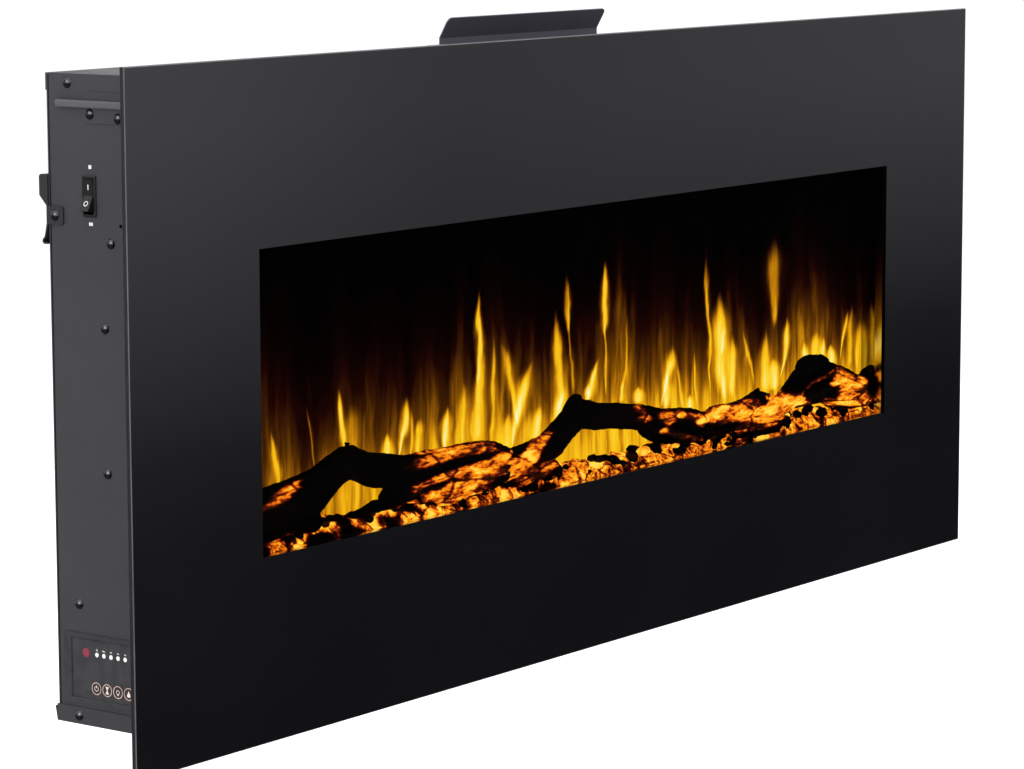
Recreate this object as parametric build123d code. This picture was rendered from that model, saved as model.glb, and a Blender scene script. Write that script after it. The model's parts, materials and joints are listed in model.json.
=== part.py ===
"""Wall-hung electric fireplace: a black glass front with a flame window on a folded steel body.

The body hangs on a rail that is screwed to the wall. Behind the window stand a resin log set, an
ember bed and a flame screen that is lit by a turning fin rotor; a cross-flow blower with a heating
element sends warm air out of the top. The switch and the control keys are on the left side.

Frame: +X to the viewer's right, +Y into the wall, +Z up. The origin is the centre of the wall
rail's four screw holes, on the wall. The script works from the glass's lower edge as z = 0 and
lowers every piece by wall_screw_height when it is saved.
"""

import os
from math import cos, radians, sin, tan

from build123d import *

# ---- glass front ----
glass_width = 1280.0
glass_height = 560.0
glass_thickness = 5.0
glass_corner_radius = 4.0
glass_arris = 1.5
print_thickness = 0.4
window_width = 970.0
window_height = 252.0
window_sill = 155.0

# ---- steel body ----
body_width = 1190.0
body_height = 526.0
body_depth = 112.0
body_lift = 24.0  # glass's lower edge to the body's floor
sheet = 1.2
flange = 14.0
bend_radius = 1.0
frame_depth = 8.0
frame_inset = 20.0

# ---- wall rail and hooks ----
wall_gap = 10.0
rail_length = 1160.0
rail_height = 48.0
rail_hole_radius = 3.0
rail_hole_span = 1000.0
rail_hole_rise = 24.0
wall_screw_height = 424.0
hook_width = 26.0
hook_sheet = 1.5
hook_foot_height = 413.0
hook_top_height = 469.0
hook_reach = 9.0
hook_ear = 17.0
hook_tab_height = 15.0
hook_tab_depth = 16.5
hook_screw_height = 436.5
hook_screw_setback = 117.7

# ---- fasteners ----
screw_shank_radius = 1.9
screw_head_radius = 4.4
screw_head_height = 2.8
screw_length = 8.0
screw_clearance = 0.1

# ---- air outlet and deflector ----
slot_count = 23
slot_pitch = 10.0
slot_width = 5.0
slot_length = 42.0
deflector_length = 240.0
deflector_setback = 100.0  # behind the glass's front face
deflector_riser = 8.0
deflector_leaf = 21.0
deflector_lean = 30.0
deflector_foot = 14.0
deflector_corner = 5.0
deflector_screw_span = 180.0

# ---- control panel, on the left side ----
control_width = 98.0
control_height = 58.0
control_setback = 118.0  # glass's front face to the panel's far edge
control_base = 41.5
control_border = 4.5
control_end_border = 3.5  # added to the border at the two ends
control_ledge = 1.2
control_lip = 3.0
control_proud = 1.0
control_wall = 2.0
membrane_thickness = 1.2
membrane_drop = 1.0
key_radius = 5.4
key_spacing = 0.9  # between one key's edge and the next
key_pitch = 2 * key_radius + key_spacing
key_near_margin = 11.3  # panel's near edge to the nearest key's edge
key_height = 55.5
key_gap = 0.3
key_thickness = 2.2
key_travel = 0.5
lamp_radius = 1.9
lamp_pitch = 7.7
lamp_first_setback = 82.6
lamp_row_height = 83.3
lamp_count = 5
sensor_radius = 3.8
sensor_setback = 94.5

# ---- rocker switch, on the left side ----
switch_setback = 80.6
switch_height = 453.5
switch_width = 14.5
switch_length = 33.0
switch_proud = 1.6
switch_border = 2.2
switch_depth = 24.0
rocker_gap = 0.35
rocker_half_angle = 12.5
rocker_pivot_depth = 1.0  # behind the side panel's outer face
rocker_pin_radius = 1.2
pin_clearance = 0.05

# ---- firebox ----
screen_setback = 40.4  # glass's front face to the flame screen
screen_thickness = 2.0
liner = 1.0
firebox_half_width = 505.0
firebox_floor = 140.0
firebox_ceiling = 415.0
ember_depth = 24.0
log_half_depth = 11.0
log_setback = 26.5

# ---- flame rotor ----
rotor_half_length = 470.0
rotor_shaft_radius = 2.5
rotor_y = -52.0
rotor_z = 186.0
fin_count = 30
fin_pitch = 30.0
fin_length = 22.0
fin_reach = 14.0
fin_thickness = 0.5
fin_turn = 50.0

# ---- warm-air unit ----
duct_half_width = 124.0
duct_sheet = 0.8
duct_front_y = -92.0
duct_back_y = -40.0
duct_base = 430.0
blower_radius = 20.0
blower_half_length = 110.0
blower_blades = 20
blower_z = 462.0
blower_shaft_radius = 2.5
element_rods = 6
element_rod_radius = 2.4
element_z = 508.0

# ---- places that follow from the sizes above ----
back_y = -wall_gap
front_y = back_y - body_depth
print_back_y = front_y - frame_depth
glass_back_y = print_back_y - print_thickness
glass_front_y = glass_back_y - glass_thickness
side_x = body_width / 2
floor_z = body_lift
top_z = body_lift + body_height
window_head = window_sill + window_height
screen_y = glass_front_y + screen_setback

# Side screws: (distance behind the glass's front face, height above its lower edge)
side_screw_places = [
    (103.0, 542.5),
    (59.0, 417.0),
    (67.0, 349.0),
    (67.0, 232.5),
    (101.0, 123.0),
    (102.5, 31.0),
]
arm_screw_places = [(78.0, 518.6), (48.0, 516.0)]
back_screw_heights = [70.0, 219.5, 355.5, 505.0]

# Log centre lines: (x, height, half the thickness) of each section
log_left_trunk = [
    (-496, 176, 20),
    (-455, 178, 23),
    (-415, 187, 20),
    (-375, 200, 15),
    (-345, 210, 17),
    (-310, 204, 13),
    (-270, 196, 15),
    (-220, 193, 15),
    (-165, 196, 13),
    (-118, 189, 6),
]
log_left_foot = [(-290, 196, 12), (-270, 178, 13), (-240, 170, 12)]
log_centre_trunk = [
    (-236, 170, 11),
    (-180, 172, 13),
    (-120, 174, 16),
    (-75, 180, 16),
    (-40, 194, 14),
    (-8, 208, 15),
    (35, 203, 15),
    (75, 196, 15),
    (120, 189, 12),
    (190, 181, 6),
]
log_centre_branch = [(75, 186, 12), (120, 178, 11), (165, 171, 9), (207, 164, 5)]
log_right_trunk = [
    (165, 178, 7),
    (215, 182, 10),
    (265, 181, 12),
    (315, 178, 13),
    (350, 190, 12),
    (385, 200, 14),
    (420, 194, 14),
    (455, 183, 12),
    (490, 184, 12),
]


def block(x0, x1, y0, y1, z0, z1):
    """A box between two corners."""
    middle = Pos((x0 + x1) / 2, (y0 + y1) / 2, (z0 + z1) / 2)
    return middle * Box(abs(x1 - x0), abs(y1 - y0), abs(z1 - z0))


def depth_y(setback):
    """The y of a place that is this far behind the glass's front face."""
    return glass_front_y + setback


def rod(radius, start, end):
    """A round bar from start to end."""
    way = Vector(*end) - Vector(*start)
    return Plane(origin=start, z_dir=way) * Cylinder(
        radius, way.length, align=(Align.CENTER, Align.CENTER, Align.MIN)
    )


def rod_x(radius, x0, x1, y, z):
    """A round bar along X."""
    return rod(radius, (min(x0, x1), y, z), (max(x0, x1), y, z))


def bent_sheet(points, thickness, x0, x1):
    """A folded strip: a centre line of (y, z) points with rounded bends, drawn out along X."""
    with BuildLine() as line:
        FilletPolyline(*points, radius=bend_radius + thickness / 2)
    strip = extrude(trace(line.line, line_width=thickness), x1 - x0)
    return Plane.YZ.offset(x0) * strip


def pan_screw(place, out, length=screw_length, scale=1.0):
    """A domed cross-head screw whose head rests at place and points along out."""
    head_r, head_h = screw_head_radius * scale, screw_head_height * scale
    dome_r = (head_r**2 + head_h**2) / (2 * head_h)
    dome = Pos(0, 0, head_h - dome_r) * Sphere(dome_r)
    head = dome & Pos(0, 0, head_h / 2) * Cylinder(head_r, head_h)
    cross = Box(head_r * 1.15, head_r * 0.24, head_h) + Box(head_r * 0.24, head_r * 1.15, head_h)
    head -= Pos(0, 0, head_h * 1.05) * cross
    shank = Pos(0, 0, -length / 2) * Cylinder(screw_shank_radius * scale, length)
    return Plane(origin=place, z_dir=out) * (head + shank)


def screw_hole(place, out, scale=1.0):
    """The drill that clears a screw's shank, both ways from place."""
    drill = Cylinder(screw_shank_radius * scale + screw_clearance, flange)
    return Plane(origin=place, z_dir=out) * drill


def side_places(places, sign, proud=0.0):
    """Points on a side's outer face, for (setback, height) places."""
    return [(sign * (side_x + proud), depth_y(s), h) for s, h in places]


# ---------------------------------------------------------------- glass front


def front_glass():
    """The tempered sheet with rounded corners and a polished front arris."""
    plate = block(
        -glass_width / 2, glass_width / 2, glass_front_y, glass_back_y, 0, glass_height
    )
    plate = fillet(plate.edges().filter_by(Axis.Y), glass_corner_radius)
    return chamfer(plate.faces().sort_by(Axis.Y)[0].edges(), glass_arris)


def border_print():
    """The black enamel that is fired on the back of the glass, round the clear window."""
    edge = glass_arris + 0.5
    half = glass_width / 2 - edge
    film = block(-half, half, glass_back_y, print_back_y, edge, glass_height - edge)
    film = fillet(film.edges().filter_by(Axis.Y), glass_corner_radius)
    return film - window_cut(0.0)


def window_cut(margin):
    """A block through the front the size of the window plus a margin all round."""
    half = window_width / 2 + margin
    return block(-half, half, glass_front_y - 1, screen_y, window_sill - margin, window_head + margin)


def backing_frame():
    """The steel pan that is bonded behind the glass, with a lip round the window and two stiles."""
    half = glass_width / 2 - frame_inset
    low, high = frame_inset - 6, glass_height - frame_inset + 6
    pan = block(-half, half, print_back_y, front_y, low, high)
    pan = fillet(pan.edges().filter_by(Axis.Y), glass_corner_radius)
    pan -= block(
        -half + sheet, half - sheet, print_back_y + sheet, front_y + 1, low + sheet, high - sheet
    )
    lip = window_cut(2.0 + sheet) & block(-half, half, print_back_y, front_y, low, high)
    inner_y = print_back_y + sheet
    for sign in (-1, 1):
        near_x, far_x = sign * (side_x - flange), sign * (side_x - 2)
        pan += block(near_x, far_x, inner_y, front_y, low + sheet, high - sheet)
    return pan + lip - window_cut(2.0)


def hanger_arm(sign):
    """The arm that carries the glass: a screwed plate, a long rounded rail and a tab in the frame."""
    out = sign * side_x
    rail_drop, rail_tall, rail_proud = 523.5, 6.0, 5.0
    plate = block(out, out + sign * sheet, front_y, depth_y(84), 511.5, 536)
    rail = block(out, out + sign * rail_proud, front_y, depth_y(113), rail_drop, rail_drop + rail_tall)
    far_edges = rail.faces().sort_by(Axis.Y)[-1].edges().filter_by(Axis.X)
    rail = fillet(far_edges, rail_tall * 0.4)
    outer = rail.faces().sort_by(Axis.X)[0 if sign < 0 else -1]
    rail = fillet(outer.edges().filter_by(Axis.Y), 1.5)
    tab_end = glass_width / 2 - frame_inset - 2 * sheet
    tab = block(out, sign * tab_end, front_y - sheet, front_y, 511.5, 536)
    arm = plate + rail + tab
    for place in side_places(arm_screw_places, sign):
        arm -= screw_hole(place, (sign, 0, 0))
    return arm


# ---------------------------------------------------------------- steel body


def side_panel(sign):
    """One side of the body: a plate with an inward flange at the front and at the back."""
    out, back = sign * side_x, back_y - sheet
    low, high = floor_z + sheet, top_z - sheet
    panel = block(out - sign * flange, out, front_y, back, low, high)
    outer = panel.faces().sort_by(Axis.X)[0 if sign < 0 else -1]
    panel = fillet(outer.edges().filter_by(Axis.Z), bend_radius + sheet)
    panel -= block(
        out - sign * (flange + 1), out - sign * sheet, front_y + sheet, back - sheet, low - 1, high + 1
    )
    places = side_places(side_screw_places + arm_screw_places, sign)
    places.append((out, depth_y(hook_screw_setback), hook_screw_height))
    for place in places:
        panel -= screw_hole(place, (sign, 0, 0))
    for x, z in back_screw_spots():
        panel -= screw_hole((x, back_y, z), (0, 1, 0), 0.8)
    spare_hole = Plane(origin=(out, depth_y(48), 431.5), z_dir=(1, 0, 0)) * Cylinder(1.6, flange)
    panel -= spare_hole
    if sign < 0:
        panel -= control_cut() + switch_cut()
    return panel


def top_cover():
    """The lid: a flat plate with a slotted air outlet."""
    lid = block(-side_x, side_x, front_y, back_y + sheet, top_z - sheet, top_z)
    rear = lid.edges().filter_by(Axis.X).sort_by(Axis.Y)[-2:].sort_by(Axis.Z)[-1]
    lid = fillet(rear, bend_radius)
    slot = Plane.XY.offset(top_z) * SlotOverall(slot_length, slot_width, rotation=90)
    cutter = extrude(slot, 2 * sheet, both=True)
    middle_y = (duct_front_y + duct_back_y) / 2
    for i in range(slot_count):
        lid -= Pos((i - (slot_count - 1) / 2) * slot_pitch, middle_y, 0) * cutter
    for x in deflector_screw_x():
        lid -= screw_hole((x, deflector_screw_y(), top_z), (0, 0, 1), 0.8)
    return lid


def top_cover_strips():
    """The three strips welded under the lid: one at the rear and one inside each side."""
    low, high = top_z - flange, top_z - sheet
    strips = [block(-side_x, side_x, back_y, back_y + sheet, low, high)]
    for sign in (-1, 1):
        inner = sign * (side_x - sheet)
        near, far = front_y + 2 * sheet, back_y - 3 * sheet
        strip = block(inner, inner - sign * sheet, near, far, low, high)
        strip -= screw_hole(side_places(side_screw_places[:1], sign)[0], (1, 0, 0))
        strips.append(strip)
    return Compound(children=strips)


def bottom_tray():
    """The floor: outer side flanges, a flared rear lip, a front flange and two rows of air slots."""
    edge = side_x + sheet
    tray = block(-edge, edge, front_y, back_y + sheet, floor_z, floor_z + sheet)
    for sign in (-1, 1):
        tray += block(sign * side_x, sign * edge, front_y, back_y + sheet, floor_z, floor_z + flange)
        tray -= screw_hole(side_places(side_screw_places[-1:], sign, sheet)[0], (1, 0, 0))
    flare = 2.2
    lip = Polygon(
        (back_y, floor_z),
        (back_y + sheet, floor_z),
        (back_y + sheet + flare, floor_z + flange - 2),
        (back_y + flare, floor_z + flange - 2),
        align=None,
    )
    tray += Plane.YZ.offset(-edge) * extrude(lip, 2 * edge)
    inner = side_x - flange - 1
    tray += block(-inner, inner, front_y, front_y + sheet, floor_z, floor_z + flange)
    slot = Plane.XY.offset(floor_z) * SlotOverall(slot_length, slot_width, rotation=90)
    cutter = extrude(slot, 2 * sheet, both=True)
    for i in range(12):
        for sign in (-1, 1):
            tray -= Pos(sign * (240 + i * 2 * slot_pitch), front_y + body_depth / 2, 0) * cutter
    return tray


def back_panel():
    """The rear cover, with air slots, screw holes and the cord outlet."""
    plate = block(-side_x, side_x, back_y - sheet, back_y, floor_z + sheet, top_z - sheet)
    slot = Plane.XZ.offset(-back_y) * SlotOverall(slot_length, slot_width, rotation=90)
    cutter = extrude(slot, 2 * sheet, both=True)
    for i in range(16):
        plate -= Pos((i - 7.5) * slot_pitch * 1.5, 0, 490) * cutter
    for x, z in back_screw_spots():
        plate -= screw_hole((x, back_y, z), (0, 1, 0), 0.8)
    x, z = gland_x(), gland_z()
    return plate - rod(gland_radius(), (x, back_y - 5, z), (x, back_y + 5, z))


def back_screw_spots():
    """(x, z) of the rear cover's screws, down both edges."""
    return [(s * (side_x - flange / 2 - 1), z) for s in (-1, 1) for z in back_screw_heights]


# ---------------------------------------------------------------- wall rail, hooks, deflector


def rear_hook(sign):
    """A hook: a side plate, a back plate, an ear that drops over the rail and a flared foot."""
    out = sign * side_x
    outer, inner = out + sign * hook_sheet, out - sign * (hook_width - hook_sheet)
    low, high = sorted((outer, inner))
    mid = back_y + hook_sheet / 2
    ear_mid = back_y + hook_reach - hook_sheet / 2
    ear_top = hook_top_height - hook_sheet / 2
    ear_end = hook_top_height - hook_ear
    ear_line = [(mid, hook_foot_height + 16), (mid, ear_top), (ear_mid, ear_top), (ear_mid, ear_end)]
    ear = bent_sheet(ear_line, hook_sheet, low, high)
    foot_mid = hook_foot_height + hook_sheet / 2
    foot_line = [(mid, foot_mid + 16), (mid + 2.5, foot_mid + 5), (ear_mid, foot_mid)]
    foot_line.append((mid + 0.5, foot_mid))
    foot = bent_sheet(foot_line, hook_sheet, low, high)
    tab_base = hook_screw_height - hook_tab_height / 2
    tab_top = tab_base + hook_tab_height
    outline = Polygon(
        (back_y - hook_tab_depth, tab_base),
        (back_y - hook_tab_depth, tab_top),
        (back_y, tab_top),
        (back_y, hook_top_height),
        (back_y + hook_reach, hook_top_height),
        (back_y + hook_reach, hook_top_height - hook_ear),
        (back_y + hook_sheet, tab_top),
        (back_y + hook_sheet, tab_base),
        align=None,
    )
    corners = outline.vertices().group_by(Axis.X)
    outline = fillet(corners[0] + corners[-1], 3.0)
    plate = Plane.YZ.offset(min(out, outer)) * extrude(outline, hook_sheet, dir=(0, 0, 1))
    hook = ear + foot + plate
    return hook - screw_hole((out, depth_y(hook_screw_setback), hook_screw_height), (1, 0, 0))


def wall_bracket():
    """The wall rail: a plate with four screw holes and a raised lip that the ears drop over."""
    half = rail_length / 2
    low = wall_screw_height - rail_height / 2
    high = wall_screw_height + rail_height / 2
    plate = block(-half, half, -sheet, 0, low, high)
    lip_y = back_y + hook_reach - hook_sheet - sheet / 2 - 1.4
    rail = plate + block(-half, half, lip_y - sheet / 2, 0, high - sheet, high)
    lip_top = hook_top_height - hook_sheet
    rail += block(-half, half, lip_y - sheet / 2, lip_y + sheet / 2, high - sheet, lip_top)
    for sx in (-1, 1):
        for sz in (-1, 1):
            x, z = sx * rail_hole_span / 2, wall_screw_height + sz * rail_hole_rise / 2
            rail -= rod(rail_hole_radius, (x, -3 * sheet, z), (x, sheet, z))
    return rail


def deflector_screw_x():
    """The x of the deflector's three screws."""
    return [-deflector_screw_span / 2, 0.0, deflector_screw_span / 2]


def deflector_screw_y():
    """The y of the deflector's screws, in the middle of its foot."""
    return depth_y(deflector_setback) + deflector_foot / 2 + 1


def heat_deflector():
    """The bent plate that turns the warm air forward: foot, short riser and a leaning leaf."""
    y = depth_y(deflector_setback)
    base = top_z + sheet / 2
    knee = top_z + deflector_riser
    lean = radians(deflector_lean)
    line = [
        (y + deflector_foot, base),
        (y, base),
        (y, knee),
        (y - deflector_leaf * sin(lean), knee + deflector_leaf * cos(lean)),
    ]
    half = deflector_length / 2
    plate = bent_sheet(line, sheet, -half, half)
    high_edges = [e for e in plate.edges() if e.center().Z > knee + deflector_leaf * 0.7]
    corners = [e for e in high_edges if abs(e.length - sheet) < 0.01 and abs(e.center().X) > half - 1]
    plate = fillet(corners, deflector_corner)
    for x in deflector_screw_x():
        plate -= screw_hole((x, deflector_screw_y(), top_z), (0, 0, 1), 0.8)
    return plate


# ---------------------------------------------------------------- control panel


def control_box(margin, x0, x1, end=0.0):
    """A block the size of the control panel, less a margin and more at the ends, x0 to x1 outward."""
    far = depth_y(control_setback) - margin - end
    near = depth_y(control_setback) - control_width + margin + end
    low, high = control_base + margin, control_base + control_height - margin
    return block(-side_x - x0, -side_x - x1, near, far, low, high)


def control_cut():
    """The hole in the side panel that the control panel's box goes through."""
    return control_box(control_lip - 0.3, -flange, 5)


def control_bezel():
    """The moulded surround: a flat rim on the side panel and a box through it, open to the front."""
    rim = control_box(0, 0, control_proud)
    rim = fillet(rim.edges().filter_by(Axis.X), 2.5)
    box = control_box(control_lip, -12, 0)
    floor_depth = control_proud - membrane_drop - membrane_thickness
    well = control_box(control_border, floor_depth, control_proud + 1, control_end_border)
    shaft = control_box(control_border + control_ledge, -13, control_proud + 1, control_end_border)
    bezel = rim + box - well - shaft
    outer = bezel.faces().sort_by(Axis.X)[0]
    inner_wire = outer.inner_wires()[0]
    return chamfer(inner_wire.edges(), 0.6)


def key_spots():
    """(y, z) of the five keys, the far one first, placed from the panel's near edge."""
    nearest = control_setback - control_width + key_near_margin + key_radius
    return [(depth_y(nearest + i * key_pitch), key_height) for i in (4, 3, 2, 1, 0)]


def lamp_spots():
    """(y, z) of the indicator lamps."""
    return [(depth_y(lamp_first_setback - i * lamp_pitch), lamp_row_height) for i in range(lamp_count)]


def membrane_face_x():
    """The x of the membrane's outer face."""
    return -side_x - control_proud + membrane_drop


def disc(radius, spot, x_out, thickness):
    """A disc facing left, with its outer face at x_out."""
    return rod(radius, (x_out, *spot), (x_out + thickness, *spot))


def control_membrane():
    """The printed front plate, with holes for the keys, the lamps and the sensor."""
    face = membrane_face_x()
    inner = -side_x - face - membrane_thickness
    plate = control_box(control_border + 0.2, inner, -side_x - face, control_end_border)
    for spot in key_spots():
        plate -= disc(key_radius + key_gap, spot, face - 1, membrane_thickness + 2)
    for spot in lamp_spots():
        plate -= disc(lamp_radius, spot, face - 1, membrane_thickness + 2)
    return plate - disc(sensor_radius, sensor_spot(), face - 1, membrane_thickness + 2)


def sensor_spot():
    """(y, z) of the remote control's sensor."""
    return depth_y(sensor_setback), lamp_row_height + 0.5


def control_key(index):
    """One key: a domed cap with a collar behind the membrane and a stem to its dome switch."""
    face = membrane_face_x()
    spot = key_spots()[index]
    cap = disc(key_radius, spot, face - 0.3, key_thickness)
    cap = chamfer(cap.faces().sort_by(Axis.X)[0].edges(), 0.25)
    stem = disc(1.5, spot, face - 0.3 + key_thickness, 2.0)
    return cap + stem


def indicator_lenses():
    """The five lamp lenses, with a low dome each."""
    face = membrane_face_x()
    lenses = []
    for spot in lamp_spots():
        lens = disc(lamp_radius, spot, face - 0.25, membrane_thickness + 1.6)
        lenses.append(fillet(lens.faces().sort_by(Axis.X)[0].edges(), 0.2))
    return Compound(children=lenses)


def sensor_lens():
    """The remote control's red window."""
    lens = disc(sensor_radius, sensor_spot(), membrane_face_x() - 0.2, membrane_thickness + 1.4)
    return fillet(lens.faces().sort_by(Axis.X)[0].edges(), 0.15)


def control_board():
    """The circuit board behind the membrane, with a dome switch under each key."""
    key_back = membrane_face_x() - 0.3 + key_thickness + 2.0
    dome_gap = key_travel + 0.15
    board_x = key_back + dome_gap + 0.8
    half = -side_x - board_x
    board = control_box(control_border + control_ledge, half - 1.6, half, control_end_border + 0.5)
    for spot in key_spots():
        board += disc(2.4, spot, key_back + dome_gap, 0.8)
    return board


# ---------------------------------------------------------------- rocker switch


def switch_box(margin, x0, x1):
    """A block as large as the switch's face less a margin all round, from x0 to x1 outward."""
    y = depth_y(switch_setback)
    half_y, half_z = switch_width / 2 - margin, switch_length / 2 - margin
    low, high = switch_height - half_z, switch_height + half_z
    return block(-side_x - x0, -side_x - x1, y - half_y, y + half_y, low, high)


def switch_cut():
    """The hole in the side panel that the switch's body goes through."""
    return switch_box(1.0, -flange, 5)


def switch_housing():
    """The switch's shell: a rim on the side panel, a deep body, and three blade terminals."""
    rim = switch_box(0, 0, switch_proud)
    rim = fillet(rim.edges().filter_by(Axis.X), 1.2)
    rim = chamfer(rim.faces().sort_by(Axis.X)[0].edges(), 0.5)
    body = switch_box(1.1, -switch_depth, 0)
    well = switch_box(switch_border, -switch_depth + 7, switch_proud + 1)
    shell = rim + body - well
    y = depth_y(switch_setback)
    for dz in (-9, 0, 9):
        x = -side_x + switch_depth
        shell += block(x, x + 8, y - 0.4, y + 0.4, switch_height + dz - 3.2, switch_height + dz + 3.2)
    pivot = (-side_x + rocker_pivot_depth, switch_height)
    reach = switch_width / 2 - switch_border + 0.9
    bore = rocker_pin_radius + pin_clearance
    return shell - rod(bore, (pivot[0], y - reach, pivot[1]), (pivot[0], y + reach, pivot[1]))


def rocker():
    """The rocker, at rest with its upper half pressed flush and its lower half standing out."""
    half_z = switch_length / 2 - switch_border - rocker_gap
    half_y = switch_width / 2 - switch_border - rocker_gap
    rise = half_z * tan(radians(rocker_half_angle))
    crest = rocker_pivot_depth + switch_proud + 0.2
    reach = (half_z**2 - (crest + rise) ** 2) ** 0.5
    outline = Plane.XZ * Polygon(
        (-crest, 0),
        (-crest - rise, reach),
        (-crest - rise + 1.0, reach + 0.4),
        (5.0, reach - 1.5),
        (7.0, 0),
        (5.0, -reach + 1.5),
        (-crest - rise + 1.0, -reach - 0.4),
        (-crest - rise, -reach),
        align=None,
    )
    body = extrude(outline, half_y, both=True)
    body = fillet(body.edges().filter_by(Axis.Y).sort_by(Axis.X)[2:4], 1.0)
    pin_end = switch_width / 2 - switch_border + 0.7
    body += rod(rocker_pin_radius, (0, -pin_end, 0), (0, pin_end, 0))
    body = Rot(0, rocker_half_angle, 0) * body
    return Pos(-side_x + rocker_pivot_depth, depth_y(switch_setback), switch_height) * body


# ---------------------------------------------------------------- firebox


def firebox_surround():
    """The black liner over and beside the flames, with its sides standing on the floor."""
    half, inner = firebox_half_width + liner, firebox_half_width
    base, back = floor_z + sheet, duct_back_y
    shell = block(-half, half, front_y + sheet, back, base, firebox_ceiling + liner)
    return shell - block(-inner, inner, front_y, back + 1, base - 1, firebox_ceiling)


def flame_screen():
    """The smoked screen that shows the flames."""
    half = firebox_half_width
    return block(-half, half, screen_y, screen_y + screen_thickness, firebox_floor + 5, firebox_ceiling)


def flame_reflector():
    """The bright film at the back that the rotor's light falls on."""
    half, face = firebox_half_width - 12, back_y - sheet
    return block(-half, half, face - 1, face, firebox_floor + 5, firebox_ceiling - 8)


def ember_bed():
    """The moulded ember bed that the logs lie on, higher at the back."""
    near, far = front_y + 1.0, front_y + 1.0 + ember_depth
    profile = Polygon(
        (near, firebox_floor),
        (far, firebox_floor),
        (far, window_sill + 15),
        (near + 8, window_sill + 10),
        (near, window_sill + 1),
        align=None,
    )
    return Plane.YZ.offset(-firebox_half_width) * extrude(profile, 2 * firebox_half_width)


def log_limb(sections):
    """One limb: a loft through flattened ovals that stand across its centre line."""
    ovals = []
    for i, (x, z, half) in enumerate(sections):
        before, after = sections[max(i - 1, 0)], sections[min(i + 1, len(sections) - 1)]
        way = (after[0] - before[0], 0, after[1] - before[1])
        plane = Plane(origin=(x, depth_y(log_setback), z), x_dir=(0, 1, 0), z_dir=way)
        ovals.append(plane * Ellipse(min(log_half_depth, half), half))
    return loft(ovals, ruled=True)


def resin_log(*limbs):
    """A log made of limbs, cut clear of the ember bed."""
    return sum((log_limb(limb) for limb in limbs[1:]), log_limb(limbs[0])) - ember_bed()


def log_left():
    """The left log, with a short foot."""
    return resin_log(log_left_trunk, log_left_foot)


def log_centre():
    """The forked log in the middle, cut to lie against the left one."""
    return resin_log(log_centre_trunk, log_centre_branch) - log_left()


def log_right():
    """The right log, cut to lie against the middle one."""
    return resin_log(log_right_trunk) - resin_log(log_centre_trunk, log_centre_branch)


# ---------------------------------------------------------------- flame rotor and lamps


def rotor_shaft():
    """The rotor's long shaft."""
    return rod_x(rotor_shaft_radius, -rotor_half_length, rotor_half_length, rotor_y, rotor_z)


def rotor_fins():
    """Bright fins gripped on the shaft, each turned a little further than the one before."""
    fins = []
    for i in range(fin_count):
        x = (i - (fin_count - 1) / 2) * fin_pitch
        fin = Box(fin_length, 2 * fin_reach, fin_thickness)
        fin = Rot(0, 12 if i % 2 else -12, 0) * fin
        hub = rod_x(rotor_shaft_radius + 1.2, -3, 3, 0, 0)
        fin = Rot(i * fin_turn, 0, 0) * (fin + hub)
        fin -= rod_x(rotor_shaft_radius, -fin_length, fin_length, 0, 0)
        fins.append(Pos(x, rotor_y, rotor_z) * fin)
    return Compound(children=fins)


def rotor_bracket(sign):
    """An angle bracket that carries one end of the rotor from the floor tray."""
    x = sign * (rotor_half_length + 4)
    upright = block(x, x + sign * sheet, rotor_y - 15, rotor_y + 15, floor_z + sheet, rotor_z + 14)
    foot = block(x, x + sign * 16, rotor_y - 15, rotor_y + 15, floor_z + sheet, floor_z + 2 * sheet)
    hole = rod_x(5.0, x - 5, x + 5, rotor_y, rotor_z)
    return upright + foot - hole


def rotor_bush():
    """The plain bush in the left bracket."""
    x = -rotor_half_length - 4
    bush = rod_x(5.0, x - sheet, x, rotor_y, rotor_z) + rod_x(7.0, x, x + 3, rotor_y, rotor_z)
    bush += rod_x(7.0, x - sheet - 3, x - sheet, rotor_y, rotor_z)
    bore_end = x + 8
    return bush - rod_x(rotor_shaft_radius + pin_clearance, x - 2, bore_end, rotor_y, rotor_z)


def rotor_stub():
    """The turned-down end of the shaft that runs in the bush."""
    x = -rotor_half_length
    return rod_x(rotor_shaft_radius, x - 5.5, x, rotor_y, rotor_z)


def rotor_motor():
    """The small synchronous motor on the right bracket."""
    x = rotor_half_length + 4 + sheet
    can = rod_x(24, x, x + 18, rotor_y, rotor_z)
    can = fillet(can.faces().sort_by(Axis.X)[-1].edges(), 2)
    boss = rod_x(4.6, x - sheet - 0.5, x, rotor_y, rotor_z)
    coupling = rod_x(rotor_shaft_radius + pin_clearance, x - 8, x + 6, rotor_y, rotor_z)
    return can + boss - coupling


def motor_end():
    """The end of the shaft that goes into the motor."""
    x = rotor_half_length
    return rod_x(rotor_shaft_radius, x, x + 9, rotor_y, rotor_z)


def lamp_board(y, z, half, tilt_up):
    """A long circuit board, flat if tilt_up is False and on edge if it is True."""
    if tilt_up:
        return block(-half, half, y, y + 1.6, z - 6, z + 6)
    return block(-half, half, y - 6, y + 6, z, z + 1.6)


def lamp_chips(y, z, half, pitch, on_edge):
    """The row of light chips on a board."""
    count = int(2 * half / pitch)
    chips = []
    for i in range(count):
        x = (i - (count - 1) / 2) * pitch
        if on_edge:
            chips.append(block(x - 2.5, x + 2.5, y + 1.6, y + 2.8, z - 2.5, z + 2.5))
        else:
            chips.append(block(x - 2.5, x + 2.5, y - 2.5, y + 2.5, z + 1.6, z + 2.8))
    return Compound(children=chips)


# ---------------------------------------------------------------- warm-air unit


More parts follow.
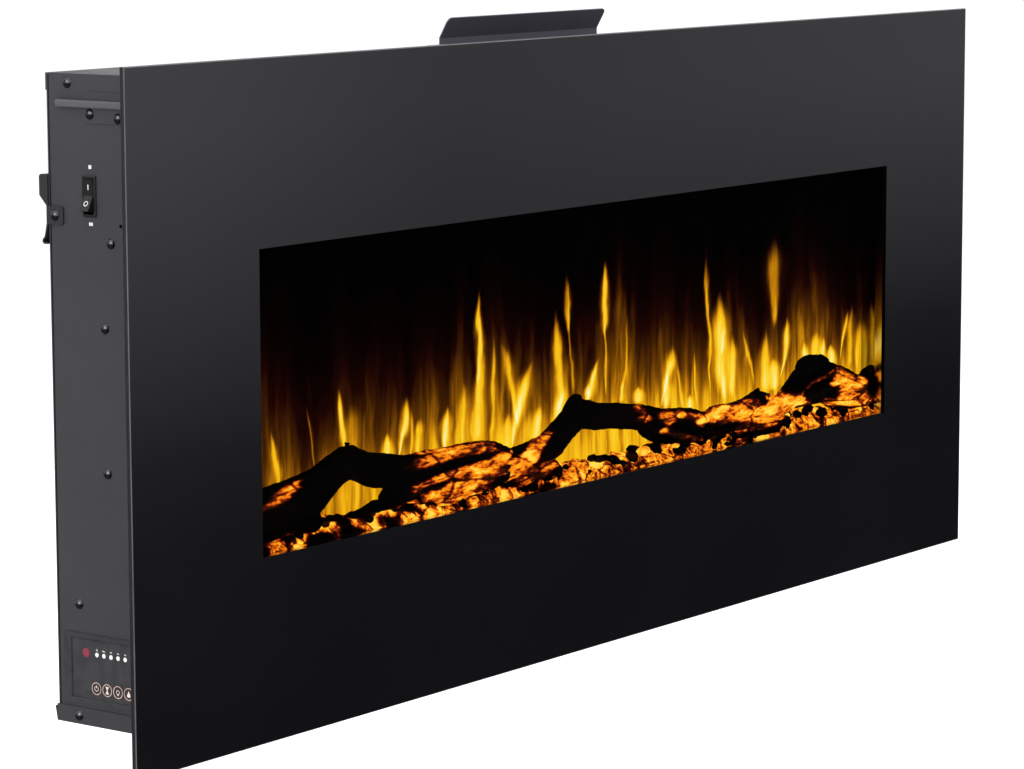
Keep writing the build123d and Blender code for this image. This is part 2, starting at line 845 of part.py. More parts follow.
def heater_duct():
    """The open-ended duct round the blower and the element."""
    walls = block(-duct_half_width, duct_half_width, duct_front_y, duct_back_y, duct_base, top_z - sheet)
    walls -= block(
        -duct_half_width + duct_sheet, duct_half_width - duct_sheet,
        duct_front_y + duct_sheet, duct_back_y - duct_sheet, duct_base - 1, top_z,
    )
    y = blower_y()
    return walls - rod_x(6.0, -duct_half_width - 2, duct_half_width + 2, y, blower_z)


def blower_y():
    """The y of the blower's axis."""
    return (duct_front_y + duct_back_y) / 2


def blower_rotor():
    """The cross-flow wheel: three discs, a ring of blades and a shaft."""
    y = blower_y()
    wheel = rod_x(blower_shaft_radius, -duct_half_width - 4, duct_half_width + 16, y, blower_z)
    for x in (-blower_half_length, -0.75, blower_half_length - 1.5):
        wheel += rod_x(blower_radius, x, x + 1.5, y, blower_z)
    blade = Pos(0, blower_radius - 3.2, 0) * Rot(28, 0, 0) * Box(2 * blower_half_length, 5.0, 0.6)
    for i in range(blower_blades):
        wheel += Pos(0, y, blower_z) * Rot(i * 360 / blower_blades, 0, 0) * blade
    return wheel


def blower_bearing():
    """The bush in the duct's left wall."""
    y, x = blower_y(), -duct_half_width
    bush = rod_x(6.0, x, x + duct_sheet, y, blower_z) + rod_x(8.5, x - 5, x, y, blower_z)
    return bush - rod_x(blower_shaft_radius + pin_clearance, x - 6, x + 3, y, blower_z)


def blower_motor():
    """The shaded-pole motor on the duct's right wall: a stack, a coil and a bearing boss."""
    y, x = blower_y(), duct_half_width
    stack = block(x + 5, x + 20, y - 24, y + 24, blower_z - 24, blower_z + 30)
    coil = block(x + 1, x + 26, y - 13, y + 13, blower_z - 30, blower_z - 24)
    boss = rod_x(6.0, x - duct_sheet, x + 5, y, blower_z) + rod_x(9, x, x + 5, y, blower_z)
    shaft_room = rod_x(blower_shaft_radius + pin_clearance, x - 2, x + 18, y, blower_z)
    return stack + coil + boss - shaft_room


def element_frame():
    """Two mica cards that hold the heating rods."""
    y0, y1 = duct_front_y + duct_sheet, duct_back_y - duct_sheet
    cards = []
    for sign in (-1, 1):
        x = sign * (duct_half_width - 14)
        card = block(x, x + sign * 1.5, y0, y1, element_z - 12, element_z + 12)
        for y in element_y():
            card -= rod_x(element_rod_radius, x - 4, x + 4, y, element_z)
        cards.append(card)
    return Compound(children=cards)


def element_y():
    """The y of each heating rod."""
    return [blower_y() + (i - (element_rods - 1) / 2) * 7.5 for i in range(element_rods)]


def heating_element():
    """The heating rods."""
    half = duct_half_width - 9
    return Compound(children=[rod_x(element_rod_radius, -half, half, y, element_z) for y in element_y()])


def thermal_cutout():
    """The over-heat switch on the duct's front wall."""
    x, y, z = 60, duct_front_y - 5, element_z + 12
    body = rod(8, (x, y, z), (x, duct_front_y, z))
    for tab in (x - 4, x + 4):
        body += block(tab - 1.5, tab + 1.5, y - 6, y, z - 1, z + 1)
    return body


# ---------------------------------------------------------------- electrics


def gland_x():
    """The x of the cord outlet."""
    return -side_x + 60


def gland_z():
    """The height of the cord outlet."""
    return 92.0


def gland_radius():
    """The radius of the cord outlet's hole."""
    return 7.0


def cord_gland():
    """The strain relief in the rear cover, with a bore for the mains cord."""
    x, z = gland_x(), gland_z()
    gland = rod(gland_radius(), (x, back_y - sheet, z), (x, back_y, z))
    gland += rod(gland_radius() + 2.5, (x, back_y - sheet - 3, z), (x, back_y - sheet, z))
    flange_ring = rod(gland_radius() + 2.5, (x, back_y, z), (x, back_y + 5, z))
    gland += fillet(flange_ring.faces().sort_by(Axis.Y)[-1].edges(), 1.5)
    return gland - rod(3.6, (x, back_y - 10, z), (x, back_y + 10, z))


def power_board():
    """The mains board, standing on four pillars off the rear cover."""
    x0, x1 = -side_x + flange + 3, -firebox_half_width - 8
    board_y = back_y - sheet - 8
    board = block(x0, x1, board_y - 1.6, board_y, 150, 290)
    for x in (x0 + 6, x1 - 6):
        for z in (156, 284):
            board += rod(3, (x, board_y, z), (x, back_y - sheet, z))
    return board


def board_parts():
    """The relay, the transformer, two capacitors and a terminal strip on the mains board."""
    y = back_y - sheet - 8 - 1.6
    x = -side_x + flange + 3
    parts = [block(x + 8, x + 46, y - 30, y, 160, 196), block(x + 8, x + 28, y - 16, y, 204, 232)]
    parts += [block(x + 34, x + 54, y - 16, y, 204, 232), block(x + 10, x + 58, y - 12, y, 268, 282)]
    parts += [rod(6, (px, y - 22, 250), (px, y, 250)) for px in (x + 18, x + 38)]
    return Compound(children=parts)


def wiring_loom():
    """The inside leads: mains board up to the warm-air unit, and mains board to the switch."""
    left, strip_top = -side_x + 37, 282
    board_y = back_y - 17
    duct_y, duct_z = blower_y() - 7, duct_base + 14
    switch_y, blade_x = depth_y(switch_setback), -side_x + switch_depth + 4
    blade_z = switch_height - 9 - 3.2
    routes = [
        [
            (left + 20, board_y, strip_top),
            (left + 20, board_y, 340),
            (left + 20, duct_y, 380),
            (left + 20, duct_y, duct_z),
            (-duct_half_width, duct_y, duct_z),
        ],
        [
            (left, board_y, strip_top),
            (left, board_y, 340),
            (blade_x, switch_y, 400),
            (blade_x, switch_y, blade_z),
        ],
    ]
    leads = []
    for route in routes:
        with BuildLine() as path:
            FilletPolyline(*route, radius=12)
        start = path.line.edges()[0]
        section = Plane(origin=start @ 0, z_dir=start % 0) * Circle(2.6)
        leads.append(sweep(section, path=path.line))
    return Compound(children=leads)


# ---------------------------------------------------------------- screws


def side_screws(sign):
    """All the screws on one side, each with its head on the piece that it clamps."""
    out = (sign, 0, 0)
    tray = side_places(side_screw_places[-1:], sign, sheet)
    plain = side_places(side_screw_places[:-1], sign)
    arm = side_places(arm_screw_places, sign, sheet)
    return Compound(children=[pan_screw(p, out) for p in plain + tray + arm])


def hook_screws():
    """The screw through each rear hook's tab."""
    y, x = depth_y(hook_screw_setback), side_x + hook_sheet
    return Compound(children=[pan_screw((s * x, y, hook_screw_height), (s, 0, 0)) for s in (-1, 1)])


def back_screws():
    """The rear cover's screws."""
    return Compound(
        children=[pan_screw((x, back_y, z), (0, 1, 0), scale=0.8) for x, z in back_screw_spots()]
    )


def deflector_screws():
    """The screws that hold the deflector's foot on the top cover."""
    z = top_z + sheet
    spots = [(x, deflector_screw_y(), z) for x in deflector_screw_x()]
    return Compound(children=[pan_screw(p, (0, 0, 1), scale=0.8) for p in spots])


# ---------------------------------------------------------------- all the pieces

flame_lamp_y, flame_lamp_z = rotor_y - 26, rotor_z - 30
ember_lamp_y, ember_lamp_z = front_y + 14, firebox_floor - 6

pieces = {
    "front_glass": front_glass,
    "glass_border_print": border_print,
    "glass_backing_frame": backing_frame,
    "hanger_arm_left": lambda: hanger_arm(-1),
    "hanger_arm_right": lambda: hanger_arm(1),
    "side_panel_left": lambda: side_panel(-1),
    "side_panel_right": lambda: side_panel(1),
    "top_cover": top_cover,
    "top_cover_strips": top_cover_strips,
    "bottom_tray": bottom_tray,
    "back_panel": back_panel,
    "rear_hook_left": lambda: rear_hook(-1),
    "rear_hook_right": lambda: rear_hook(1),
    "wall_bracket": wall_bracket,
    "heat_deflector": heat_deflector,
    "control_bezel": control_bezel,
    "control_membrane": control_membrane,
    "key_power": lambda: control_key(0),
    "key_timer": lambda: control_key(1),
    "key_light": lambda: control_key(2),
    "key_flame": lambda: control_key(3),
    "key_heat": lambda: control_key(4),
    "indicator_lenses": indicator_lenses,
    "sensor_lens": sensor_lens,
    "control_board": control_board,
    "switch_housing": switch_housing,
    "switch_rocker": rocker,
    "firebox_surround": firebox_surround,
    "flame_screen": flame_screen,
    "flame_reflector": flame_reflector,
    "ember_bed": ember_bed,
    "log_left": log_left,
    "log_centre": log_centre,
    "log_right": log_right,
    "rotor_shaft": lambda: rotor_shaft() + rotor_stub() + motor_end(),
    "rotor_fins": rotor_fins,
    "rotor_bracket_left": lambda: rotor_bracket(-1),
    "rotor_bracket_right": lambda: rotor_bracket(1),
    "rotor_bush": rotor_bush,
    "rotor_motor": rotor_motor,
    "flame_lamp_board": lambda: lamp_board(flame_lamp_y, flame_lamp_z, firebox_half_width, True),
    "flame_lamp_chips": lambda: lamp_chips(flame_lamp_y, flame_lamp_z, firebox_half_width, 30, True),
    "ember_lamp_board": lambda: lamp_board(ember_lamp_y, ember_lamp_z, firebox_half_width, False),
    "ember_lamp_chips": lambda: lamp_chips(ember_lamp_y, ember_lamp_z, firebox_half_width, 40, False),
    "heater_duct": heater_duct,
    "heating_element": heating_element,
    "element_frame": element_frame,
    "blower_rotor": blower_rotor,
    "blower_bearing": blower_bearing,
    "blower_motor": blower_motor,
    "thermal_cutout": thermal_cutout,
    "power_board": power_board,
    "board_parts": board_parts,
    "wiring_loom": wiring_loom,
    "cord_gland": cord_gland,
    "side_screws_left": lambda: side_screws(-1),
    "side_screws_right": lambda: side_screws(1),
    "hook_screws": hook_screws,
    "back_screws": back_screws,
    "deflector_screws": deflector_screws,
}

os.makedirs("parts", exist_ok=True)
for name, make in pieces.items():
    export_step(Pos(0, 0, -wall_screw_height) * make(), f"parts/{name}.step")
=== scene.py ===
"""Looks of a wall-hung electric fireplace: black glass front, flame window, charcoal steel body.

Every length is in metres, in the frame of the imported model: +X along the front, +Y into the wall,
+Z up, with the origin at the wall rail's screws. The tables of flames, wood and glows are in
millimetres: x from the middle of the front, heights from the glass's lower edge.
"""

import json
import logging
import math
import random
from dataclasses import dataclass, field
from enum import Enum, IntEnum
from typing import Iterable, Sequence

import bmesh
import bpy
import numpy as np
from mathutils import Matrix, Vector, noise

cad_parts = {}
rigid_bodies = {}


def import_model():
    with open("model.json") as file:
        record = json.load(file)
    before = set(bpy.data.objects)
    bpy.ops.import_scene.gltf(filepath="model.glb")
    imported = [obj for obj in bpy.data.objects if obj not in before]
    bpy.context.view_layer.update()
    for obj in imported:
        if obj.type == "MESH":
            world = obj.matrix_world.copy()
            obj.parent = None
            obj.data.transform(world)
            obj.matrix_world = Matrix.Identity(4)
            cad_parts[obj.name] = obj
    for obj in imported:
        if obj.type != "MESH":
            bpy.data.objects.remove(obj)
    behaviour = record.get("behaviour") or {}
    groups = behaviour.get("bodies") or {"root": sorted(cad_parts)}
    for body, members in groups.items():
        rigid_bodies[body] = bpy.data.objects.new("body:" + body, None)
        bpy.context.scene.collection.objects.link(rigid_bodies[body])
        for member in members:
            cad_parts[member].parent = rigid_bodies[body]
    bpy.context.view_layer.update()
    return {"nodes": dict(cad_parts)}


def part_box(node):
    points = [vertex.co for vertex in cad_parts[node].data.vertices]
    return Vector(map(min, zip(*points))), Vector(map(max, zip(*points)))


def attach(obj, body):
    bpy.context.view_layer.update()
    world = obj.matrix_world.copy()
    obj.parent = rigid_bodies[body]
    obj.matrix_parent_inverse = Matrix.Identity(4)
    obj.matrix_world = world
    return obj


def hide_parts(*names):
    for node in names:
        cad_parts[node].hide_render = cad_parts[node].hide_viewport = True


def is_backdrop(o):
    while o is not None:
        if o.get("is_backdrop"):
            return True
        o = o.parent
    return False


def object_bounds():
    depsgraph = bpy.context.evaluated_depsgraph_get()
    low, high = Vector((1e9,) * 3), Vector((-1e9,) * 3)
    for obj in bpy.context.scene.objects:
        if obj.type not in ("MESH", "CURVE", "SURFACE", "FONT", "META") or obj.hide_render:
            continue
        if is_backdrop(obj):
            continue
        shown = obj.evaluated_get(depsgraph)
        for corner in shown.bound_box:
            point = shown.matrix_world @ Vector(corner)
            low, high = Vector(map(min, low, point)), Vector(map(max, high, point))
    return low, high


LOG = logging.getLogger("fireplace")
MM = 0.001
PRINT_LIFT = 0.01 * MM  # how far a print stands off the face it is on
NOISE_LOW, NOISE_HIGH = 0.3, 0.7  # most of a fractal noise lies between these
GLASS_IOR = 1.5

Point = tuple[float, float]
Outline = Sequence[Point]
Colour = tuple[float, float, float]
Place = tuple[float, float, float]
Socket = bpy.types.NodeSocket
Value = Socket | float | Colour


class Body(str, Enum):
    """The rigid bodies that pieces ride on."""

    CASE = "body"
    ROCKER = "rocker"
    POWER = "power_key"
    TIMER = "timer_key"
    LIGHT = "light_key"
    FLAME = "flame_key"
    HEAT = "heat_key"


def shade(colour: Colour, factor: float) -> Colour:
    """A colour made lighter or darker, each part at most 1."""
    return tuple(min(1.0, part * factor) for part in colour)


class Frame:
    """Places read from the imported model."""

    def __init__(self) -> None:
        """Reads the glass and the left side once."""
        low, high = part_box("front_glass")
        self.glass_low, self.glass_high = low, high
        self.side_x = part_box("side_panel_left")[0].x

    def height(self, above_edge: float) -> float:
        """Height of a place given in mm above the glass's lower edge."""
        return self.glass_low.z + above_edge * MM

    def setback(self, behind_front: float) -> float:
        """The y of a place given in mm behind the glass's front face."""
        return self.glass_low.y + behind_front * MM


# ------------------------------------------------------------------ shader graphs


class Graph:
    """A short way to write one shader node tree."""

    def __init__(self, tree: bpy.types.NodeTree) -> None:
        """Keeps the tree that nodes are added to."""
        self.tree = tree

    def add(self, kind: str, **settings: object) -> bpy.types.Node:
        """Adds a node and sets its own properties.

        Args:
            kind: the node type without its ShaderNode prefix.
            **settings: properties of the node.

        Returns:
            The new node.
        """
        node = self.tree.nodes.new("ShaderNode" + kind)
        for name, value in settings.items():
            setattr(node, name, value)
        return node

    def put(self, socket: Socket, value: Value) -> None:
        """Links a socket into another, or sets its number or colour.

        Args:
            socket: the input to fill.
            value: a socket, a number or a colour.
        """
        if isinstance(value, bpy.types.NodeSocket):
            self.tree.links.new(value, socket)
        elif socket.type == "RGBA" and isinstance(value, tuple):
            socket.default_value = (*value, 1.0)
        else:
            socket.default_value = value

    def place(self) -> Socket:
        """The surface point in the row frame, in metres."""
        return self.add("TexCoord").outputs["Object"]

    def math(self, operation: str, *values: Value, clamp: bool = False) -> Socket:
        """Arithmetic on numbers.

        Args:
            operation: name of the operation, such as MULTIPLY.
            *values: one to three numbers or sockets.
            clamp: whether the result is held between 0 and 1.

        Returns:
            The result's socket.
        """
        node = self.add("Math", operation=operation, use_clamp=clamp)
        for socket, value in zip(node.inputs, values):
            self.put(socket, value)
        return node.outputs[0]

    def vector(self, operation: str, *values: Value) -> Socket:
        """Arithmetic on vectors.

        Args:
            operation: name of the operation, such as SUBTRACT.
            *values: vectors or sockets.

        Returns:
            The vector result, or the number for DOT_PRODUCT.
        """
        node = self.add("VectorMath", operation=operation)
        for socket, value in zip(node.inputs, values):
            self.put(socket, value)
        return node.outputs["Value" if operation == "DOT_PRODUCT" else "Vector"]

    def stretch(self, place: Socket, x: float, y: float, z: float) -> Socket:
        """Scales a vector by a different amount on each axis."""
        return self.vector("MULTIPLY", place, (x, y, z))

    def parts(self, place: Socket) -> tuple[Socket, Socket, Socket]:
        """Splits a vector into x, y and z.

        Args:
            place: the vector.

        Returns:
            Three sockets.
        """
        node = self.add("SeparateXYZ")
        self.put(node.inputs[0], place)
        return node.outputs[0], node.outputs[1], node.outputs[2]

    def join(self, x: Value, y: Value, z: Value) -> Socket:
        """Joins x, y and z to a vector.

        Args:
            x: first part.
            y: second part.
            z: third part.

        Returns:
            The vector's socket.
        """
        node = self.add("CombineXYZ")
        for socket, value in zip(node.inputs, (x, y, z)):
            self.put(socket, value)
        return node.outputs[0]

    def noise(self, place: Socket, scale: float, detail: float = 3.0, rough: float = 0.5) -> Socket:
        """Fractal noise.

        Args:
            place: coordinates.
            scale: cycles per unit of the coordinates.
            detail: octaves.
            rough: share kept from octave to octave.

        Returns:
            A number about 0.5.
        """
        node = self.add("TexNoise")
        self.put(node.inputs["Vector"], place)
        node.inputs["Scale"].default_value = scale
        node.inputs["Detail"].default_value = detail
        node.inputs["Roughness"].default_value = rough
        return node.outputs[0]

    def cell_edges(self, place: Socket, scale: float) -> Socket:
        """Distance from the edges of a cell pattern.

        Args:
            place: coordinates.
            scale: cells per unit.

        Returns:
            The distance's socket.
        """
        node = self.add("TexVoronoi", feature="DISTANCE_TO_EDGE")
        self.put(node.inputs["Vector"], place)
        node.inputs["Scale"].default_value = scale
        return node.outputs["Distance"]

    def smooth(
        self, value: Value, low: float, high: float, start: float = 0.0, end: float = 1.0
    ) -> Socket:
        """Maps low..high to start..end with soft ends.

        Args:
            value: the number to map.
            low: where the slope begins.
            high: where it ends.
            start: the result at low.
            end: the result at high.

        Returns:
            The mapped number.
        """
        node = self.add("MapRange", interpolation_type="SMOOTHSTEP")
        for socket, number in zip(node.inputs, (value, low, high, start, end)):
            self.put(socket, number)
        return node.outputs[0]

    def spread(self, value: Value, start: float, end: float) -> Socket:
        """Turns a noise into a number that moves between two values."""
        return self.smooth(value, NOISE_LOW, NOISE_HIGH, start, end)

    def tones(self, value: Value, dark: Colour, light: Colour) -> Socket:
        """Turns a noise into a change between two tones."""
        return self.ramp(value, [(NOISE_LOW, dark), (NOISE_HIGH, light)])

    def ramp(self, value: Value, stops: Sequence[tuple[float, Colour]]) -> Socket:
        """A colour ramp.

        Args:
            value: the place on the ramp.
            stops: (place, colour) pairs.

        Returns:
            The colour's socket.
        """
        node = self.add("ValToRGB")
        self.put(node.inputs[0], value)
        elements = node.color_ramp.elements
        while len(elements) < len(stops):
            elements.new(1.0)
        for element, (place, colour) in zip(elements, stops):
            element.position = place
            element.color = (*colour, 1.0)
        return node.outputs[0]

    def blend(self, share: Value, first: Value, second: Value) -> Socket:
        """Mixes two colours.

        Args:
            share: the second's share.
            first: one colour.
            second: the other.

        Returns:
            The colour's socket.
        """
        node = self.add("Mix", data_type="RGBA")
        for index, value in ((0, share), (6, first), (7, second)):  # the colour mix's own sockets
            self.put(node.inputs[index], value)
        return node.outputs[2]

    def bump(self, height: Socket, strength: float, depth: float) -> Socket:
        """Turns a height into a normal.

        Args:
            height: the height's socket.
            strength: share of the effect.
            depth: metres for a height of 1.

        Returns:
            The normal's socket.
        """
        node = self.add("Bump")
        node.inputs["Strength"].default_value = strength
        node.inputs["Distance"].default_value = depth
        self.put(node.inputs["Height"], height)
        return node.outputs[0]

    def fill(self, shader: bpy.types.Node, inputs: dict[str, Value]) -> None:
        """Fills several of a shader's inputs by name."""
        for name, value in inputs.items():
            self.put(shader.inputs[name], value)


def blank_material(name: str) -> tuple[bpy.types.Material, Graph, bpy.types.Node]:
    """Makes a material with nothing but its shader.

    Args:
        name: its name.

    Returns:
        The material, its graph and its shader.
    """
    material = bpy.data.materials.new(name)
    material.use_nodes = True
    return material, Graph(material.node_tree), material.node_tree.nodes["Principled BSDF"]


@dataclass(frozen=True)
class Finish:
    """A surface finish. Each kind fills in dress()."""

    name: str

    def build(self) -> bpy.types.Material:
        """Makes the material once and gives it back on later calls.

        Returns:
            The material.
        """
        found = bpy.data.materials.get(self.name)
        if found:
            return found
        material, graph, shader = blank_material(self.name)
        self.dress(graph, shader)
        return material

    def dress(self, graph: Graph, shader: bpy.types.Node) -> None:
        """Fills in the shader."""
        raise NotImplementedError


@dataclass(frozen=True)
class PowderCoat(Finish):
    """Baked powder paint on sheet steel, with its fine orange peel and a little handling shine."""

    colour: Colour = (0.05, 0.05, 0.055)
    roughness: float = 0.5
    peel: float = 1300.0
    fleck_share: float = 0.72  # of the change in colour; the rest is slow drift

    def dress(self, graph: Graph, shader: bpy.types.Node) -> None:
        """Colour drifts slowly, gloss varies with handling, and the peel is a fine bump.

        Args:
            graph: the graph to write in.
            shader: the shader to fill.
        """
        place = graph.place()
        drift = graph.noise(place, 9.0, 2.0)
        fleck = graph.noise(place, self.peel, 2.0, 0.6)
        handling = graph.noise(place, 30.0, 4.0)
        slow = graph.math("MULTIPLY", drift, 1.0 - self.fleck_share)
        share = graph.math("MULTIPLY_ADD", fleck, self.fleck_share, slow)
        graph.fill(shader, {
            "Base Color": graph.tones(share, shade(self.colour, 0.82), shade(self.colour, 1.22)),
            "Roughness": graph.spread(handling, self.roughness - 0.05, self.roughness + 0.08),
            "Normal": graph.bump(fleck, 0.22, 0.00025),
        })


@dataclass(frozen=True)
class TwoToneCoat(PowderCoat):
    """Powder coat that gives way to a smoother tone past a distance from the middle."""

    second: Colour = (0.1, 0.1, 0.1)
    metal: float = 0.0
    gloss: float = 0.3
    change_at: float = 0.5  # metres from the middle, along the front
    outward: bool = True

    def dress(self, graph: Graph, shader: bpy.types.Node) -> None:
        """Coats the whole piece, then lays the second tone over its share.

        Args:
            graph: the graph to write in.
            shader: the shader to fill.
        """
        super().dress(graph, shader)
        x, _, _ = graph.parts(graph.place())
        share = graph.math("GREATER_THAN", graph.math("ABSOLUTE", x), self.change_at)
        if not self.outward:
            share = graph.math("SUBTRACT", 1.0, share)
        laid = [shader.inputs[name].links[0].from_socket for name in ("Base Color", "Roughness")]
        step = graph.math("MULTIPLY", share, graph.math("SUBTRACT", self.gloss, laid[1]))
        graph.fill(shader, {
            "Base Color": graph.blend(share, laid[0], self.second),
            "Roughness": graph.math("ADD", laid[1], step),
        })
        if self.metal:
            graph.put(shader.inputs["Metallic"], graph.math("MULTIPLY", share, self.metal))


@dataclass(frozen=True)
class Moulded(Finish):
    """Injection-moulded plastic."""

    colour: Colour = (0.03, 0.03, 0.032)
    roughness: float = 0.45
    grain: float = 2400.0
    depth: float = 0.00008

    def dress(self, graph: Graph, shader: bpy.types.Node) -> None:
        """A fine spark-eroded grain, with a faint sheen that varies.

        Args:
            graph: the graph to write in.
            shader: the shader to fill.
        """
        place = graph.place()
        grain = graph.noise(place, self.grain, 2.0, 0.55)
        cloud = graph.noise(place, 120.0, 3.0)
        tints = [(0.35, shade(self.colour, 0.88)), (0.65, shade(self.colour, 1.15))]
        graph.fill(shader, {
            "Base Color": graph.ramp(cloud, tints),
            "Roughness": graph.spread(cloud, self.roughness * 0.85, self.roughness * 1.1),
            "Normal": graph.bump(grain, 0.25, self.depth),
        })


@dataclass(frozen=True)
class BareMetal(Finish):
    """Plated, brushed or bright metal."""

    colour: Colour = (0.6, 0.61, 0.62)
    roughness: float = 0.32
    brush: Place = (40.0, 1500.0, 1500.0)

    def dress(self, graph: Graph, shader: bpy.types.Node) -> None:
        """Long brush marks change the gloss, and a slow cloud tints the plating.

        Args:
            graph: the graph to write in.
            shader: the shader to fill.
        """
        place = graph.place()
        marks = graph.noise(graph.stretch(place, *self.brush), 1.0, 3.0, 0.6)
        cloud = graph.noise(place, 60.0, 3.0)
        graph.fill(shader, {
            "Base Color": graph.tones(cloud, shade(self.colour, 0.8), self.colour),
            "Roughness": graph.spread(marks, self.roughness * 0.8, self.roughness * 1.25),
            "Normal": graph.bump(marks, 0.12, 0.00006),
            "Metallic": 1.0,
        })


@dataclass(frozen=True)
class EnamelledGlass(Finish):
    """Glass seen against the black enamel fired on its back."""

    colour: Colour = (0.0035, 0.0035, 0.0045)

    def dress(self, graph: Graph, shader: bpy.types.Node) -> None:
        """Deep black under a polished face, with the faintest cleaning haze.

        Args:
            graph: the graph to write in.
            shader: the shader to fill.
        """
        haze = graph.noise(graph.stretch(graph.place(), 3.0, 3.0, 5.0), 1.0, 4.0, 0.6)
        graph.fill(shader, {
            "Base Color": graph.ramp(haze, [(0.35, self.colour), (0.7, shade(self.colour, 1.4))]),
            "Roughness": graph.smooth(haze, 0.3, 0.75, 0.02, 0.05),
            "IOR": GLASS_IOR,
        })


@dataclass(frozen=True)
class GroundEdge(Finish):
    """The ground and polished edge of a glass sheet."""

    colour: Colour = (0.018, 0.018, 0.021)

    def dress(self, graph: Graph, shader: bpy.types.Node) -> None:
        """Grinding lines run along the edge and scatter light.

        Args:
            graph: the graph to write in.
            shader: the shader to fill.
        """
        lines = graph.noise(graph.stretch(graph.place(), 40.0, 2500.0, 40.0), 1.0, 3.0, 0.6)
        graph.fill(shader, {
            "Base Color": graph.tones(lines, shade(self.colour, 0.55), self.colour),
            "Roughness": graph.spread(lines, 0.16, 0.34),
            "Normal": graph.bump(lines, 0.2, 0.00008),
            "IOR": GLASS_IOR,
        })


@dataclass(frozen=True)
class ClearGlass(Finish):
    """The clear window, coated so that it hardly mirrors the room."""

    tint: Colour = (0.97, 0.975, 0.98)
    coated_ior: float = 1.01  # so near 1 that the window hardly mirrors

    def dress(self, graph: Graph, shader: bpy.types.Node) -> None:
        """Clear glass with the faintest change of tint.

        Args:
            graph: the graph to write in.
            shader: the shader to fill.
        """
        cloud = graph.noise(graph.place(), 4.0, 2.0)
        graph.fill(shader, {
            "Base Color": graph.tones(cloud, shade(self.tint, 0.985), self.tint),
            "Roughness": 0.0,
            "IOR": self.coated_ior,
            "Transmission Weight": 1.0,
        })


@dataclass(frozen=True)
class CircuitBoard(Finish):
    """Green solder mask over copper tracks."""

    colour: Colour = (0.02, 0.12, 0.045)
    track: Colour = (0.05, 0.22, 0.08)
    pitch: float = 260.0  # tracks per metre

    def dress(self, graph: Graph, shader: bpy.types.Node) -> None:
        """Tracks show as a lighter green, in a fine rectangular maze.

        Args:
            graph: the graph to write in.
            shader: the shader to fill.
        """
        place = graph.place()
        maze = graph.add("TexBrick")
        graph.fill(maze, {
            "Vector": graph.stretch(place, self.pitch, self.pitch, self.pitch),
            "Color1": self.colour,
            "Color2": shade(self.colour, 0.8),
            "Mortar": self.track,
        })
        graph.fill(shader, {
            "Base Color": maze.outputs["Color"],
            "Roughness": graph.spread(graph.noise(place, 400.0), 0.25, 0.4),
        })


@dataclass(frozen=True)
class Lens(Finish):
    """A lit or unlit light-pipe."""

    colour: Colour = (0.85, 0.85, 0.83)
    glow: float = 0.0

    def dress(self, graph: Graph, shader: bpy.types.Node) -> None:
        """A fine cloud varies the tint and gloss a little over the frosted lens.

        Args:
            graph: the graph to write in.
            shader: the shader to fill.
        """
        cloud = graph.noise(graph.place(), 900.0, 2.0)
        tint = graph.tones(cloud, shade(self.colour, 0.8), self.colour)
        graph.fill(shader, {
            "Base Color": tint,
            "Emission Color": tint,
            "Emission Strength": self.glow,
            "Roughness": graph.spread(cloud, 0.18, 0.3),
        })


EMBER_STOPS: list[tuple[float, Colour]] = [
    (0.0, (0.0, 0.0, 0.0)),
    (0.12, (0.010, 0.0006, 0.0002)),
    (0.25, (0.07, 0.004, 0.001)),
    (0.38, (0.28, 0.026, 0.002)),
    (0.52, (0.66, 0.11, 0.003)),
    (0.68, (0.90, 0.25, 0.006)),
    (0.86, (1.0, 0.40, 0.010)),
    (1.0, (1.0, 0.66, 0.07)),
]


